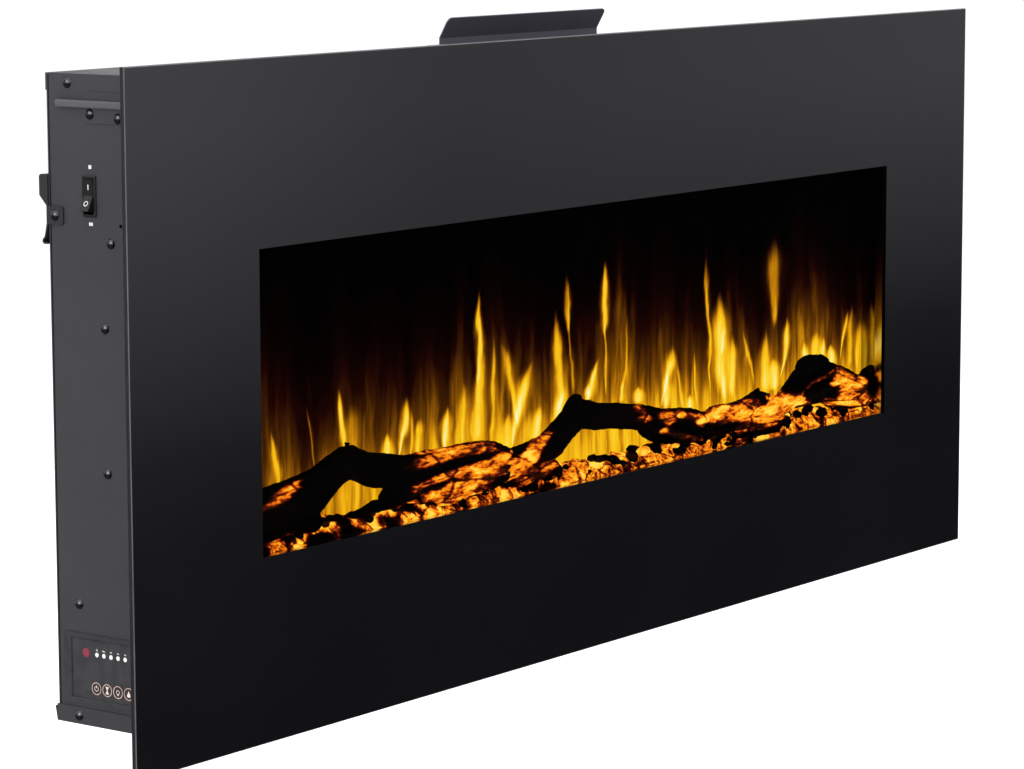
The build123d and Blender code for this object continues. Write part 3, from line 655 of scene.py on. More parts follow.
@dataclass(frozen=True)
class GlowingResin(Finish):
    """Amber resin painted as charred wood or coal, lit from inside where the paint is thin.

    The mesh carries two values: ember_heat, how much light comes through, and ember_char, how
    thick the black is.
    """

    bark: Place = (1.0, 1.0, 1.0)  # stretch of the grain on each axis
    fine: float = 400.0
    ash: Colour = (0.006, 0.0048, 0.0042)
    strength: float = 1.12
    coarse_swing: float = 3.4  # how far coarse grain lifts and drops the heat
    coarse_drop: float = -1.72
    fine_swing: float = 1.3
    crack_drop: float = -0.5
    cover: float = 0.9  # heat that a full coat of char takes away

    def dress(self, graph: Graph, shader: bpy.types.Node) -> None:
        """Breaks the heat up with grain, then colours it from dull red to pale yellow.

        Args:
            graph: the graph to write in.
            shader: the shader to fill.
        """
        place = graph.stretch(graph.place(), *self.bark)
        coarse = graph.noise(place, self.fine * 0.3, 4.0, 0.65)
        fine = graph.noise(place, self.fine, 3.0, 0.6)
        heat = self.value(graph, "ember_heat")
        char = self.value(graph, "ember_char")
        cracks = graph.smooth(graph.cell_edges(place, self.fine * 0.1), 0.0, 0.05, self.crack_drop, 0.0)
        broken = graph.math(
            "ADD",
            graph.math("MULTIPLY_ADD", coarse, self.coarse_swing, self.coarse_drop),
            graph.math("MULTIPLY_ADD", fine, self.fine_swing, -self.fine_swing / 2),
        )
        broken = graph.math("ADD", broken, cracks)
        amount = graph.math("MULTIPLY", broken, graph.smooth(heat, 0.0, 0.35))
        covered = graph.math("MULTIPLY", char, self.cover)
        amount = graph.math("SUBTRACT", graph.math("ADD", heat, amount), covered)
        soot = [(0.35, (0.0008, 0.0007, 0.0007)), (0.62, (0.0022, 0.0017, 0.0015)), (0.8, self.ash)]
        warmth = graph.smooth(heat, 0.2, 0.9, 0.0, 0.7)
        graph.fill(shader, {
            "Emission Color": graph.ramp(graph.smooth(amount, -0.05, 1.45), EMBER_STOPS),
            "Emission Strength": self.strength,
            "Base Color": graph.blend(warmth, graph.ramp(coarse, soot), (0.05, 0.010, 0.002)),
            "Roughness": graph.spread(fine, 0.5, 0.85),
            "Normal": graph.bump(graph.math("ADD", coarse, fine), 0.6, 0.0012),
            "Specular IOR Level": 0.0,
        })

    def value(self, graph: Graph, name: str) -> Socket:
        """One of the values that the mesh carries."""
        return graph.add("Attribute", attribute_name=name).outputs["Fac"]


@dataclass(frozen=True)
class Tongue:
    """One tongue of flame on the screen. Lengths are mm, heights from the glass's lower edge."""

    foot_x: float
    foot_z: float
    tip_x: float
    tip_z: float
    width: float
    power: float
    waist: float = 1.0  # under 1 is widest low down, over 1 is widest near the tip
    bow: float = 0.0


TONGUES = [
    Tongue(-470, 195, -476, 244, 11, 0.30),
    Tongue(-448, 195, -452, 236, 14, 0.28),
    Tongue(-416, 196, -424, 252, 7, 0.45, 0.7),
    Tongue(-369, 205, -384, 270, 4, 0.25),
    Tongue(-330, 216, -338, 276, 9, 0.85, 0.6),
    Tongue(-318, 208, -320, 262, 16, 0.20),
    Tongue(-272, 200, -270, 228, 11, 0.75, 0.7),
    Tongue(-257, 200, -246, 258, 9, 1.05, 1.7, 3),
    Tongue(-241, 200, -238, 246, 5, 0.4),
    Tongue(-232, 200, -228, 236, 8, 0.6, 0.7),
    Tongue(-189, 196, -186, 242, 11, 1.2, 1.2, -2),
    Tongue(-166, 200, -163, 262, 9, 0.4),
    Tongue(-144, 250, -140, 344, 9, 0.95, 0.9),
    Tongue(-150, 196, -136, 285, 16, 0.62, 0.7),
    Tongue(-124, 196, -122, 300, 8, 0.40),
    Tongue(-84, 205, -110, 290, 13, 0.55, 1.5, 3),
    Tongue(-96, 186, -62, 268, 13, 1.05, 1.5, -3),
    Tongue(-102, 186, -98, 225, 17, 0.62, 0.7),
    Tongue(-66, 190, -50, 225, 18, 0.70, 0.8),
    Tongue(-20, 205, -27, 315, 17, 0.75, 0.6),
    Tongue(-34, 195, -16, 236, 12, 0.80, 0.9),
    Tongue(0, 222, -8, 345, 4, 0.32, 0.5),
    Tongue(-6, 282, -10, 345, 10, 0.42),
    Tongue(24, 218, 40, 258, 12, 0.95, 0.6),
    Tongue(22, 216, 24, 236, 9, 0.9, 0.8),
    Tongue(54, 216, 50, 300, 4, 0.45),
    Tongue(50, 272, 50, 352, 11, 0.9, 0.9),
    Tongue(80, 212, 86, 300, 4, 0.30),
    Tongue(78, 210, 80, 234, 5, 0.7, 0.7),
    Tongue(106, 206, 108, 224, 13, 0.75, 0.8),
    Tongue(140, 198, 162, 258, 12, 0.95, 2.0, 4),
    Tongue(150, 194, 156, 236, 12, 0.85, 0.8),
    Tongue(182, 190, 168, 244, 6, 0.45),
    Tongue(190, 186, 193, 206, 9, 0.95, 0.7),
    Tongue(205, 190, 198, 252, 5, 0.40),
    Tongue(228, 196, 219, 352, 8, 0.55, 1.4),
    Tongue(252, 186, 244, 306, 22, 0.95, 1.1, -5),
    Tongue(247, 236, 250, 268, 8, 0.55),
    Tongue(262, 190, 264, 258, 14, 0.65, 1.1),
    Tongue(304, 198, 282, 262, 5, 0.42),
    Tongue(322, 186, 326, 256, 20, 0.55, 0.8),
    Tongue(342, 250, 338, 352, 26, 0.40, 1.5),
    Tongue(352, 200, 366, 266, 9, 0.95, 1.7, 2),
    Tongue(340, 190, 338, 226, 22, 0.80, 0.7),
    Tongue(394, 200, 397, 236, 11, 1.1, 0.8),
    Tongue(418, 204, 416, 244, 22, 0.55, 0.9),
    Tongue(429, 204, 433, 236, 11, 0.80, 0.7),
    Tongue(446, 200, 448, 228, 12, 1.1, 0.6),
    Tongue(462, 205, 478, 262, 7, 0.70, 2.0, 2),
    Tongue(482, 195, 486, 268, 12, 0.45),
    Tongue(498, 190, 500, 250, 12, 0.40),
]

FLAME_STOPS: list[tuple[float, Colour]] = [
    (0.0, (0.0, 0.0, 0.0)),
    (0.1, (0.003, 0.0004, 0.0002)),
    (0.2, (0.012, 0.0013, 0.0006)),
    (0.32, (0.04, 0.010, 0.001)),
    (0.44, (0.11, 0.034, 0.001)),
    (0.56, (0.26, 0.092, 0.002)),
    (0.68, (0.54, 0.21, 0.003)),
    (0.8, (0.88, 0.43, 0.006)),
    (0.9, (1.0, 0.60, 0.013)),
    (0.96, (1.0, 0.76, 0.10)),
    (1.0, (1.0, 0.95, 0.55)),
]


@dataclass(frozen=True)
class FlamePicture(Finish):
    """The moving flames, stopped at one moment, as they show on the smoked screen."""

    edge_height: float = 0.0  # row-frame height of the glass's lower edge
    exposure: float = 1.85
    strength: float = 1.02
    sway: float = 16.0  # mm from side to side, in slow waves
    flicker: float = 10.0  # mm from side to side, in short ones
    thread_dark: float = 0.84
    thread_light: float = 1.16

    def dress(self, graph: Graph, shader: bpy.types.Node) -> None:
        """Adds a streaked glow and the tongues, then colours the sum from dull brown to near white.

        Args:
            graph: the graph to write in.
            shader: the shader to fill.
        """
        x, _, z = graph.parts(graph.place())
        wide = graph.math("MULTIPLY", x, 1000.0)
        tall = graph.math("MULTIPLY", graph.math("SUBTRACT", z, self.edge_height), 1000.0)
        flat = graph.join(wide, 0.0, tall)
        waves = graph.noise(graph.stretch(flat, 0.02, 1.0, 0.012), 1.0, 2.0)
        quick = graph.noise(graph.stretch(flat, 0.075, 1.0, 0.03), 1.0, 2.0)
        shift = graph.math(
            "ADD",
            graph.math("MULTIPLY_ADD", waves, self.sway, -self.sway / 2),
            graph.math("MULTIPLY_ADD", quick, self.flicker, -self.flicker / 2),
        )
        bent = graph.join(graph.math("ADD", wide, shift), 0.0, tall)
        total = self.glow(graph, bent, tall, wide)
        group = self.tongue_group()
        for tongue in TONGUES:
            node = graph.add("Group")
            node.node_tree = group
            reach = (tongue.tip_x - tongue.foot_x, 0.0, tongue.tip_z - tongue.foot_z)
            graph.fill(node, {
                "Place": bent,
                "Foot": (tongue.foot_x, 0.0, tongue.foot_z),
                "Reach": reach,
                "Width": float(tongue.width),
                "Power": tongue.power,
                "Waist": tongue.waist,
                "Bow": float(tongue.bow),
                "Total": total,
            })
            total, bent = node.outputs["Total"], node.outputs["Place"]
        threads = graph.noise(graph.stretch(flat, 0.15, 1.0, 0.016), 1.0, 2.0, 0.5)
        threads = graph.smooth(threads, 0.28, 0.72, self.thread_dark, self.thread_light)
        total = graph.math("MULTIPLY", total, threads)
        unlit = graph.math("EXPONENT", graph.math("MULTIPLY", total, -self.exposure))
        level = graph.math("SUBTRACT", 1.0, unlit, clamp=True)
        graph.fill(shader, {
            "Emission Color": graph.ramp(level, FLAME_STOPS),
            "Emission Strength": self.strength,
            "Base Color": graph.tones(quick, (0.0003, 0.0003, 0.0003), (0.0008, 0.0007, 0.0006)),
            "Roughness": graph.spread(quick, 0.6, 0.8),
            "Specular IOR Level": 0.0,
        })

    def glow(self, graph: Graph, bent: Socket, tall: Socket, wide: Socket) -> Socket:
        """The soft light between the tongues.

        Args:
            graph: the graph to write in.
            bent: the swayed place, in mm.
            tall: height in mm.
            wide: place along the front in mm.

        Returns:
            The glow's level.
        """
        streaks = graph.noise(graph.stretch(bent, 0.10, 1.0, 0.006), 1.0, 4.0, 0.62)
        hairs = graph.noise(graph.stretch(bent, 0.32, 1.0, 0.012), 1.0, 2.0, 0.5)
        tops = graph.noise(graph.stretch(bent, 0.022, 1.0, 0.001), 1.0, 2.0)
        ghosts = graph.noise(graph.stretch(bent, 0.05, 1.0, 0.009), 1.0, 2.0)
        over = graph.math("SUBTRACT", tall, graph.math("MULTIPLY_ADD", tops, 150.0, 210.0))
        body = graph.smooth(over, -115.0, 15.0, 1.0, 0.0)
        haze = graph.smooth(over, -80.0, 75.0, 1.0, 0.0)
        left = graph.smooth(wide, -480.0, -130.0, 0.5, 1.0)
        grain = graph.math(
            "ADD",
            graph.smooth(streaks, 0.25, 0.75, 0.35, 1.15),
            graph.math("MULTIPLY_ADD", hairs, 0.5, -0.25),
        )
        lit = graph.math("MULTIPLY", graph.math("MULTIPLY", body, grain), 0.45)
        low = graph.smooth(tall, 172.0, 236.0, 0.58, 0.0)
        lit = graph.math("ADD", lit, graph.math("MULTIPLY", low, graph.spread(streaks, 0.4, 1.0)))
        faint = graph.math("MULTIPLY", graph.smooth(ghosts, 0.5, 0.72), haze)
        lit = graph.math("MULTIPLY_ADD", faint, 0.24, lit)
        return graph.math("MULTIPLY", graph.math("MULTIPLY_ADD", haze, 0.17, lit), left)

    def tongue_group(self) -> bpy.types.NodeTree:
        """The node group that adds one tongue to the running total.

        Returns:
            The group.
        """
        tree = bpy.data.node_groups.new("flame_tongue", "ShaderNodeTree")
        ports = [(name, "INPUT", "Vector") for name in ("Place", "Foot", "Reach")]
        ports += [(name, "INPUT", "Float") for name in ("Width", "Power", "Waist", "Bow", "Total")]
        ports += [("Total", "OUTPUT", "Float"), ("Place", "OUTPUT", "Vector")]
        for name, way, kind in ports:
            tree.interface.new_socket(name, in_out=way, socket_type="NodeSocket" + kind)
        graph = Graph(tree)
        given = tree.nodes.new("NodeGroupInput").outputs
        away = graph.vector("SUBTRACT", given["Place"], given["Foot"])
        reach = given["Reach"]
        square = graph.vector("DOT_PRODUCT", reach, reach)
        along = graph.math("DIVIDE", graph.vector("DOT_PRODUCT", away, reach), square, clamp=True)
        _, across, _ = graph.parts(graph.vector("CROSS_PRODUCT", away, reach))
        across = graph.math("DIVIDE", across, graph.math("SQRT", square))
        arch = graph.math("SINE", graph.math("MULTIPLY", along, math.pi))
        across = graph.math("ADD", across, graph.math("MULTIPLY", arch, given["Bow"]))
        fullest = graph.math("POWER", along, given["Waist"])
        swell = graph.math("SINE", graph.math("MULTIPLY", fullest, math.pi))
        half = graph.math("MULTIPLY", graph.math("MULTIPLY_ADD", swell, 0.72, 0.08), given["Width"])
        near = graph.math("DIVIDE", graph.math("ABSOLUTE", across), half)
        veil = graph.math("MULTIPLY", graph.smooth(near, 0.0, 1.5, 1.0, 0.0), 0.55)
        heart = graph.math("MULTIPLY", graph.smooth(near, 0.0, 0.75, 1.0, 0.0), 0.95)
        foot = graph.smooth(along, 0.0, 0.16)
        tip = graph.smooth(along, 0.62, 1.0, 1.0, 0.0)
        ends = graph.math("MULTIPLY", foot, tip)
        lit = graph.math("MULTIPLY", graph.math("ADD", veil, heart), ends)
        lit = graph.math("MULTIPLY", lit, given["Power"])
        total = graph.math("ADD", given["Total"], lit)
        results = tree.nodes.new("NodeGroupOutput").inputs
        graph.put(results["Total"], total)
        # The place goes on through the total, so that the tongues are worked out one after another.
        nudge = graph.join(graph.math("MULTIPLY", total, 0.00001), 0.0, 0.0)
        graph.put(results["Place"], graph.vector("ADD", given["Place"], nudge))
        return tree


# ------------------------------------------------------------------ finishes by name

CHARCOAL_GREY = (0.035, 0.0345, 0.039)
STEEL_BLACK = (0.02, 0.02, 0.023)
CHARCOAL = PowderCoat("charcoal_powder_coat", CHARCOAL_GREY, 0.48)
DEFLECTOR_GREY = PowderCoat("deflector_powder_coat", (0.085, 0.081, 0.102), 0.42)
BLACK_STEEL = PowderCoat("black_powder_coat", STEEL_BLACK, 0.42)
# The hanger arms are charcoal coat. Past 0.598 m from the middle, where they stand out of the sides,
# they take a lighter copy of it: a painted highlight where the rails catch the light.
ARM_HIGHLIGHT_COAT = TwoToneCoat(
    "arm_highlight_coat", CHARCOAL_GREY, 0.48, second=(0.085, 0.084, 0.09), gloss=0.34, change_at=0.598
)
FRAME_COAT = TwoToneCoat(
    "frame_coat", STEEL_BLACK, 0.42,
    second=(0.66, 0.64, 0.62), metal=1.0, gloss=0.06, change_at=0.4895, outward=False,
)
LINER_BLACK = BareMetal("mirror_black_liner", (0.42, 0.41, 0.40), 0.07, (90.0, 500.0, 500.0))
BLACK_OXIDE = BareMetal("black_oxide_screw", (0.13, 0.13, 0.138), 0.16, (900.0, 900.0, 900.0))
ZINC = BareMetal("zinc_plate", (0.58, 0.59, 0.60), 0.35)
BRIGHT = BareMetal("bright_steel", (0.72, 0.72, 0.74), 0.22)
FOIL = BareMetal("mirror_foil", (0.86, 0.86, 0.87), 0.08)
ALLOY = BareMetal("plain_alloy", (0.7, 0.71, 0.72), 0.3)
ROD_STEEL = BareMetal("heating_rod_steel", (0.28, 0.26, 0.25), 0.45)
PANEL_BLACK = Moulded("panel_black", (0.031, 0.0305, 0.035), 0.5)
MEMBRANE = Moulded("printed_membrane", (0.034, 0.034, 0.038), 0.42, 1600.0)
DARK_PLASTIC = Moulded("dark_plastic", (0.03, 0.03, 0.033), 0.5)
GLOSS_BLACK = Moulded("gloss_black", (0.008, 0.008, 0.009), 0.24, 900.0, 0.00003)
KEY_BLACK = Moulded("key_black", (0.028, 0.024, 0.024), 0.4)
MICA = Moulded("mica_card", (0.5, 0.44, 0.35), 0.6, 700.0)
SLEEVE = Moulded("lead_sleeve", (0.02, 0.02, 0.022), 0.55, 1200.0)
WHITE_PRINT = Moulded("white_print", (0.75, 0.74, 0.72), 0.5)
COPPER_PRINT = Moulded("copper_print", (0.52, 0.36, 0.30), 0.4)
ICON_PRINT = Moulded("icon_print", (0.72, 0.62, 0.56), 0.45)
GREEN_BOARD = CircuitBoard("green_board")
WHITE_LENS = Lens("white_lens", (0.88, 0.86, 0.83), 0.25)
RED_LENS = Lens("red_lens", (0.15, 0.02, 0.05), 0.03)
LAMP_CHIP = Lens("lamp_chip", (1.0, 0.72, 0.28), 1.0)
FRONT_ENAMEL = EnamelledGlass("enamelled_glass")
GLASS_EDGE = GroundEdge("ground_glass_edge")
# The chamfers are a light grey against the dark ground edge: a painted highlight where they catch the
# light.
CHAMFER_HIGHLIGHT = GroundEdge("chamfer_painted_highlight", (0.12, 0.122, 0.13))
CLEAR = ClearGlass("clear_window")
LOG_RESIN = GlowingResin("charred_log", (0.32, 1.0, 1.0), 380.0)
COAL_RESIN = GlowingResin("ember_coal", ash=(0.005, 0.004, 0.004))


# ------------------------------------------------------------------ pieces and meshes

CAD_PIECES: dict[str, bpy.types.Object] = {}


def paint(node: str, finish: Finish) -> None:
    """Gives a CAD piece a finish in every one of its slots.

    Args:
        node: the piece's name.
        finish: the finish.
    """
    material = finish.build()
    piece = CAD_PIECES[node]
    for slot in piece.material_slots:
        slot.material = material
    if not piece.material_slots:
        piece.data.materials.append(material)
    LOG.info("%s: %s", node, finish.name)


def new_piece(
    name: str, mesh: bpy.types.Mesh, finishes: Sequence[Finish], body: Body
) -> bpy.types.Object:
    """Puts a finished mesh in the scene and lets it ride on a body.

    Args:
        name: the piece's name.
        mesh: its mesh, in the row frame.
        finishes: one finish for each material slot.
        body: the body it rides on.

    Returns:
        The new object.
    """
    piece = bpy.data.objects.new(name, mesh)
    bpy.context.scene.collection.objects.link(piece)
    for finish in finishes:
        mesh.materials.append(finish.build())
    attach(piece, body.value)
    LOG.info("%s: %d faces", name, len(mesh.polygons))
    return piece


def to_mesh(shape: bmesh.types.BMesh, name: str, smooth: bool = False) -> bpy.types.Mesh:
    """Turns a finished shape into a mesh and lets the shape go.

    Args:
        shape: the shape.
        name: the mesh's name.
        smooth: whether its faces are smooth-shaded.

    Returns:
        The mesh.
    """
    mesh = bpy.data.meshes.new(name)
    shape.to_mesh(mesh)
    shape.free()
    if smooth:
        mesh.polygons.foreach_set("use_smooth", [True] * len(mesh.polygons))
    return mesh


def tube_mesh(name: str, rows: np.ndarray) -> bpy.types.Mesh:
    """Skins rings of points as a closed tube.

    Args:
        name: the mesh's name.
        rows: an array (ring, point, 3).

    Returns:
        The mesh, with its faces turned outward.
    """
    count, size = rows.shape[:2]
    faces = []
    for i in range(0, (count - 1) * size, size):
        for j in range(size):
            k = (j + 1) % size
            faces.append((i + j, i + k, i + size + k, i + size + j))
    faces.append(tuple(reversed(range(size))))
    faces.append(tuple(range((count - 1) * size, count * size)))
    mesh = bpy.data.meshes.new(name)
    mesh.from_pydata(rows.reshape(-1, 3).tolist(), [], faces)
    shape = bmesh.new()
    shape.from_mesh(mesh)
    bpy.data.meshes.remove(mesh)
    bmesh.ops.recalc_face_normals(shape, faces=shape.faces)
    return to_mesh(shape, name)


def carry(mesh: bpy.types.Mesh, name: str, values: np.ndarray) -> None:
    """Stores one number per vertex on a mesh."""
    layer = mesh.attributes.new(name, "FLOAT", "POINT")
    layer.data.foreach_set("value", values.astype(np.float32).ravel())


def curve_through(points: np.ndarray, step: float) -> np.ndarray:
    """Samples a smooth line through points.

    Args:
        points: rows of numbers; the first column grows all along.
        step: spacing of the samples along the first column.

    Returns:
        The sampled rows.
    """
    along = points[:, 0]
    count = max(2, int(abs(along[-1] - along[0]) / step))
    slopes = np.gradient(points, along, axis=0)
    places = np.linspace(along[0], along[-1], count)
    index = np.clip(np.searchsorted(along, places) - 1, 0, len(along) - 2)
    gap = (along[index + 1] - along[index])[:, None]
    t = (places - along[index])[:, None] / gap
    first, second = points[index], points[index + 1]
    return (
        (2 * t**3 - 3 * t**2 + 1) * first
        + (t**3 - 2 * t**2 + t) * gap * slopes[index]
        + (-2 * t**3 + 3 * t**2) * second
        + (t**3 - t**2) * gap * slopes[index + 1]
    )


def flat_plates(
    name: str, outlines: Iterable[Sequence[Vector]], out: Vector, thickness: float
) -> bpy.types.Mesh:
    """Thin plates with the given outlines.

    Args:
        name: the mesh's name.
        outlines: closed outlines, in the row frame.
        out: the direction that the plates grow in.
        thickness: how thick they are.

    Returns:
        The mesh.
    """
    shape = bmesh.new()
    for outline in outlines:
        base = [shape.verts.new(p) for p in outline]
        top = [shape.verts.new(p + out * thickness) for p in outline]
        shape.faces.new(base)
        shape.faces.new(top)
        for i in range(len(base)):
            j = (i + 1) % len(base)
            shape.faces.new((base[i], base[j], top[j], top[i]))
    bmesh.ops.recalc_face_normals(shape, faces=shape.faces)
    return to_mesh(shape, name)


def arc(radius: float, start: float, end: float, count: int) -> list[Point]:
    """Points on an arc about the middle, angles in degrees."""
    steps = [math.radians(start + (end - start) * i / (count - 1)) for i in range(count)]
    return [(radius * math.cos(a), radius * math.sin(a)) for a in steps]


def band(radius: float, width: float, start: float, end: float, count: int = 32) -> list[Outline]:
    """A ring or part of one, as four-sided outlines.

    Args:
        radius: to the middle of the band.
        width: of the band.
        start: first angle, in degrees.
        end: last angle.
        count: points along it.

    Returns:
        The outlines, side by side.
    """
    inner = arc(radius - width / 2, start, end, count)
    outer = arc(radius + width / 2, start, end, count)
    return [[inner[i], inner[i + 1], outer[i + 1], outer[i]] for i in range(count - 1)]


def bar(x0: float, y0: float, x1: float, y1: float) -> Outline:
    """A rectangle's outline."""
    return [(x0, y0), (x1, y0), (x1, y1), (x0, y1)]


# ------------------------------------------------------------------ glass front


class GlassSlot(IntEnum):
    """The glass sheet's material slots."""

    ENAMEL = 0
    CLEAR = 1
    EDGE = 2
    ARRIS = 3


def snapped(value: float, low: float, high: float, reach: float) -> float:
    """The value, or the limit that it lies within reach of.

    Args:
        value: the number.
        low: lower limit.
        high: upper limit.
        reach: how near to a limit counts.

    Returns:
        The value or a limit.
    """
    if value < low + reach:
        return low
    return high if value > high - reach else value


@dataclass
class GlassFront:
    """The one sheet of toughened glass, enamelled black round a clear window. Sizes in mm."""

    frame: Frame
    window_half_width: float = 485.0
    window_low: float = 155.0
    window_high: float = 407.0
    back_margin: float = 2.0
    chamfer: float = 0.7

    def build(self) -> bpy.types.Object:
        """Makes the sheet: enamelled border, clear middle, ground edges, and chamfers in a lighter grey
        that paints a highlight on them.

        Returns:
            The sheet.
        """
        low, high = self.frame.glass_low, self.frame.glass_high
        cut = self.chamfer * MM
        shape = bmesh.new()
        front = self.face_grid(shape, low.y, cut, 0.0)
        back = self.face_grid(shape, high.y, cut, self.back_margin)
        for grid in (front, back):
            for i in range(3):
                for j in range(3):
                    corners_at = (grid[i][j], grid[i + 1][j], grid[i + 1][j + 1], grid[i][j + 1])
                    face = shape.faces.new(corners_at)
                    face.material_index = GlassSlot.CLEAR if i == j == 1 else GlassSlot.ENAMEL
        rings = [self.rim(grid) for grid in (front, back)]
        walls = []
        for ring, y in zip(rings, (low.y + cut, high.y - cut)):
            wall = []
            for vertex in ring:
                x = snapped(vertex.co.x, low.x, high.x, 2 * cut)
                z = snapped(vertex.co.z, low.z, high.z, 2 * cut)
                wall.append(shape.verts.new((x, y, z)))
            walls.append(wall)
        loops = [rings[0], walls[0], walls[1], rings[1]]
        # Both chamfers take the light grey of a painted highlight. The edge between them is dark.
        slots = (GlassSlot.ARRIS, GlassSlot.EDGE, GlassSlot.ARRIS)
        for first, second, slot in zip(loops, loops[1:], slots):
            for i in range(len(first)):
                j = (i + 1) % len(first)
                side = shape.faces.new((first[i], first[j], second[j], second[i]))
                side.material_index = slot
        bmesh.ops.recalc_face_normals(shape, faces=shape.faces)
        mesh = to_mesh(shape, "glass_sheet")
        finishes = (FRONT_ENAMEL, CLEAR, GLASS_EDGE, CHAMFER_HIGHLIGHT)
        sheet = new_piece("glass_sheet", mesh, finishes, Body.CASE)
        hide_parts("front_glass", "glass_border_print")
        return sheet

    def face_grid(
        self, shape: bmesh.types.BMesh, y: float, cut: float, margin: float
    ) -> list[list[bmesh.types.BMVert]]:
        """One face of the sheet as three by three fields.

        Args:
            shape: the mesh being made.
            y: the face's place.
            cut: the chamfer, in metres.
            margin: how far the clear field runs past the window, in mm.

        Returns:
            Four columns of four corners.
        """
        low, high = self.frame.glass_low, self.frame.glass_high
        half = (self.window_half_width + margin) * MM
        bottom = self.frame.height(self.window_low - margin)
        top = self.frame.height(self.window_high + margin)
        columns = (low.x + cut, -half, half, high.x - cut)
        rows = (low.z + cut, bottom, top, high.z - cut)
        return [[shape.verts.new((x, y, z)) for z in rows] for x in columns]

    def rim(self, grid: list[list[bmesh.types.BMVert]]) -> list[bmesh.types.BMVert]:
        """The twelve outer corners of a face, in order.

        Args:
            grid: four columns of four corners.

        Returns:
            The corners, once round.
        """
        top = [grid[i][3] for i in range(3)]
        bottom = [grid[i][0] for i in (3, 2, 1)]
        return grid[0][:3] + top + grid[3][:0:-1] + bottom


# ------------------------------------------------------------------ logs and embers


@dataclass(frozen=True)
class Limb:
    """A run of wood: (along, height, half thickness) stations in mm, and how deep it sits."""

    stations: tuple[tuple[float, float, float], ...]
    setback: float = 26.0
    depth: float = 10.5


@dataclass(frozen=True)
class Glow:
    """A patch where light comes through. Sizes in mm; a heat below zero darkens."""

    x: float
    z: float
    half_wide: float
    half_tall: float
    heat: float
    slope: float = 0.0  # rise in mm for each mm along


@dataclass
class Log:
    """One moulded resin log of several limbs."""

    name: str
    node: str
    limbs: tuple[Limb, ...]
    glows: tuple[Glow, ...]
    seed: int
    ring: int = 44  # points round a limb
    step: float = 2.0  # mm between rings
    taper: float = 4.0  # rings over which an end closes
    nearest: float = 14.8  # mm behind the front face, clear of the glass
    farthest: float = 39.2  # clear of the flame screen
    bare_heat: float = -0.35  # heat where no glow reaches

    def build(self, frame: Frame) -> bpy.types.Object:
        """Skins the limbs, cuts bark into them and stores the heat.

        Args:
            frame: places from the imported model.

        Returns:
            The log.
        """
        shape = bmesh.new()
        for index, limb in enumerate(self.limbs):
            mesh = self.skin(limb, index, frame)
            shape.from_mesh(mesh)
            bpy.data.meshes.remove(mesh)
        mesh = to_mesh(shape, self.name, smooth=True)
        points = np.empty(len(mesh.vertices) * 3)
        mesh.vertices.foreach_get("co", points)
        points = points.reshape(-1, 3) / MM
        points[:, 2] -= frame.glass_low.z / MM
        heat = self.heat_at(points)
        carry(mesh, "ember_heat", np.clip(heat, 0.0, 1.0))
        carry(mesh, "ember_char", np.clip(-heat, 0.0, 1.0))
        log = new_piece(self.name, mesh, (LOG_RESIN,), Body.CASE)
        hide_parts(self.node)
        return log

    def skin(self, limb: Limb, index: int, frame: Frame) -> bpy.types.Mesh:
        """One limb as a barked tube.

        Args:
            limb: the limb.
            index: its place in the log, for its own bark.
            frame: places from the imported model.

        Returns:
            A mesh in the row frame.
        """
        line = curve_through(np.array(limb.stations, float), self.step)
        slopes = np.gradient(line[:, 1], line[:, 0])
        rows = np.zeros((len(line), self.ring, 3))
        for i, (x, z, radius) in enumerate(line):
            tilt = math.atan(slopes[i])
            end = min(1.0, i / self.taper, (len(line) - 1 - i) / self.taper)
            close = math.sqrt(max(0.0, 1.0 - (1.0 - end) ** 2)) * 0.9 + 0.1
            deepest = min(radius * 0.95, limb.depth)
            for j in range(self.ring):
                angle = 2 * math.pi * j / self.ring
                up, out = math.sin(angle), math.cos(angle)
                bark = self.bark(x, angle, radius, index)
                rise = radius * up * close + up * bark
                deep = deepest * out * close + out * min(bark, 1.0)
                across, above = math.sin(tilt) * rise, math.cos(tilt) * rise
                rows[i, j] = (x - across, limb.setback - deep, z + above)
        rows[:, :, 1] = np.clip(rows[:, :, 1], self.nearest, self.farthest)
        rows *= MM
        rows[:, :, 1] += frame.glass_low.y
        rows[:, :, 2] += frame.glass_low.z
        return tube_mesh("limb", rows)

    def bark(self, x: float, angle: float, radius: float, index: int) -> float:
        """Height of the bark in mm: knots, long ridges and a rough grain.

        Args:
            x: place along the limb, in mm.
            angle: place round it, in radians.
            radius: the limb's half thickness there.
            index: its place in the log, for its own bark.

        Returns:
            The height, below zero in a crack.
        """
        around = angle * radius
        shift = self.seed * 37.0 + index * 11.0
        ring = (math.cos(angle) * 1.2, math.sin(angle) * 1.2)
        knots = noise.noise(Vector((x * 0.022 + shift, *ring)))
        ridge = noise.noise(Vector((x * 0.035 + shift, around * 0.32, 3.0)))
        grain = noise.noise(Vector((x * 0.16 + shift, around * 0.5, 7.0)))
        return knots * 3.2 + (0.5 - abs(ridge)) * 1.8 + grain * 0.9 - 0.6

    def heat_at(self, points: np.ndarray) -> np.ndarray:
        """Sums the glow patches at points given in mm.

        Args:
            points: rows of x, y, z above the glass's lower edge.

        Returns:
            One heat for each point; below zero is charred.
        """
        total = np.full(len(points), self.bare_heat)
        for glow in self.glows:
            along = points[:, 0] - glow.x
            height = (points[:, 2] - glow.z - glow.slope * along) / glow.half_tall
            across = along / glow.half_wide
            total += glow.heat * np.exp(-((across**2 + height**2) ** 1.5))
        return total


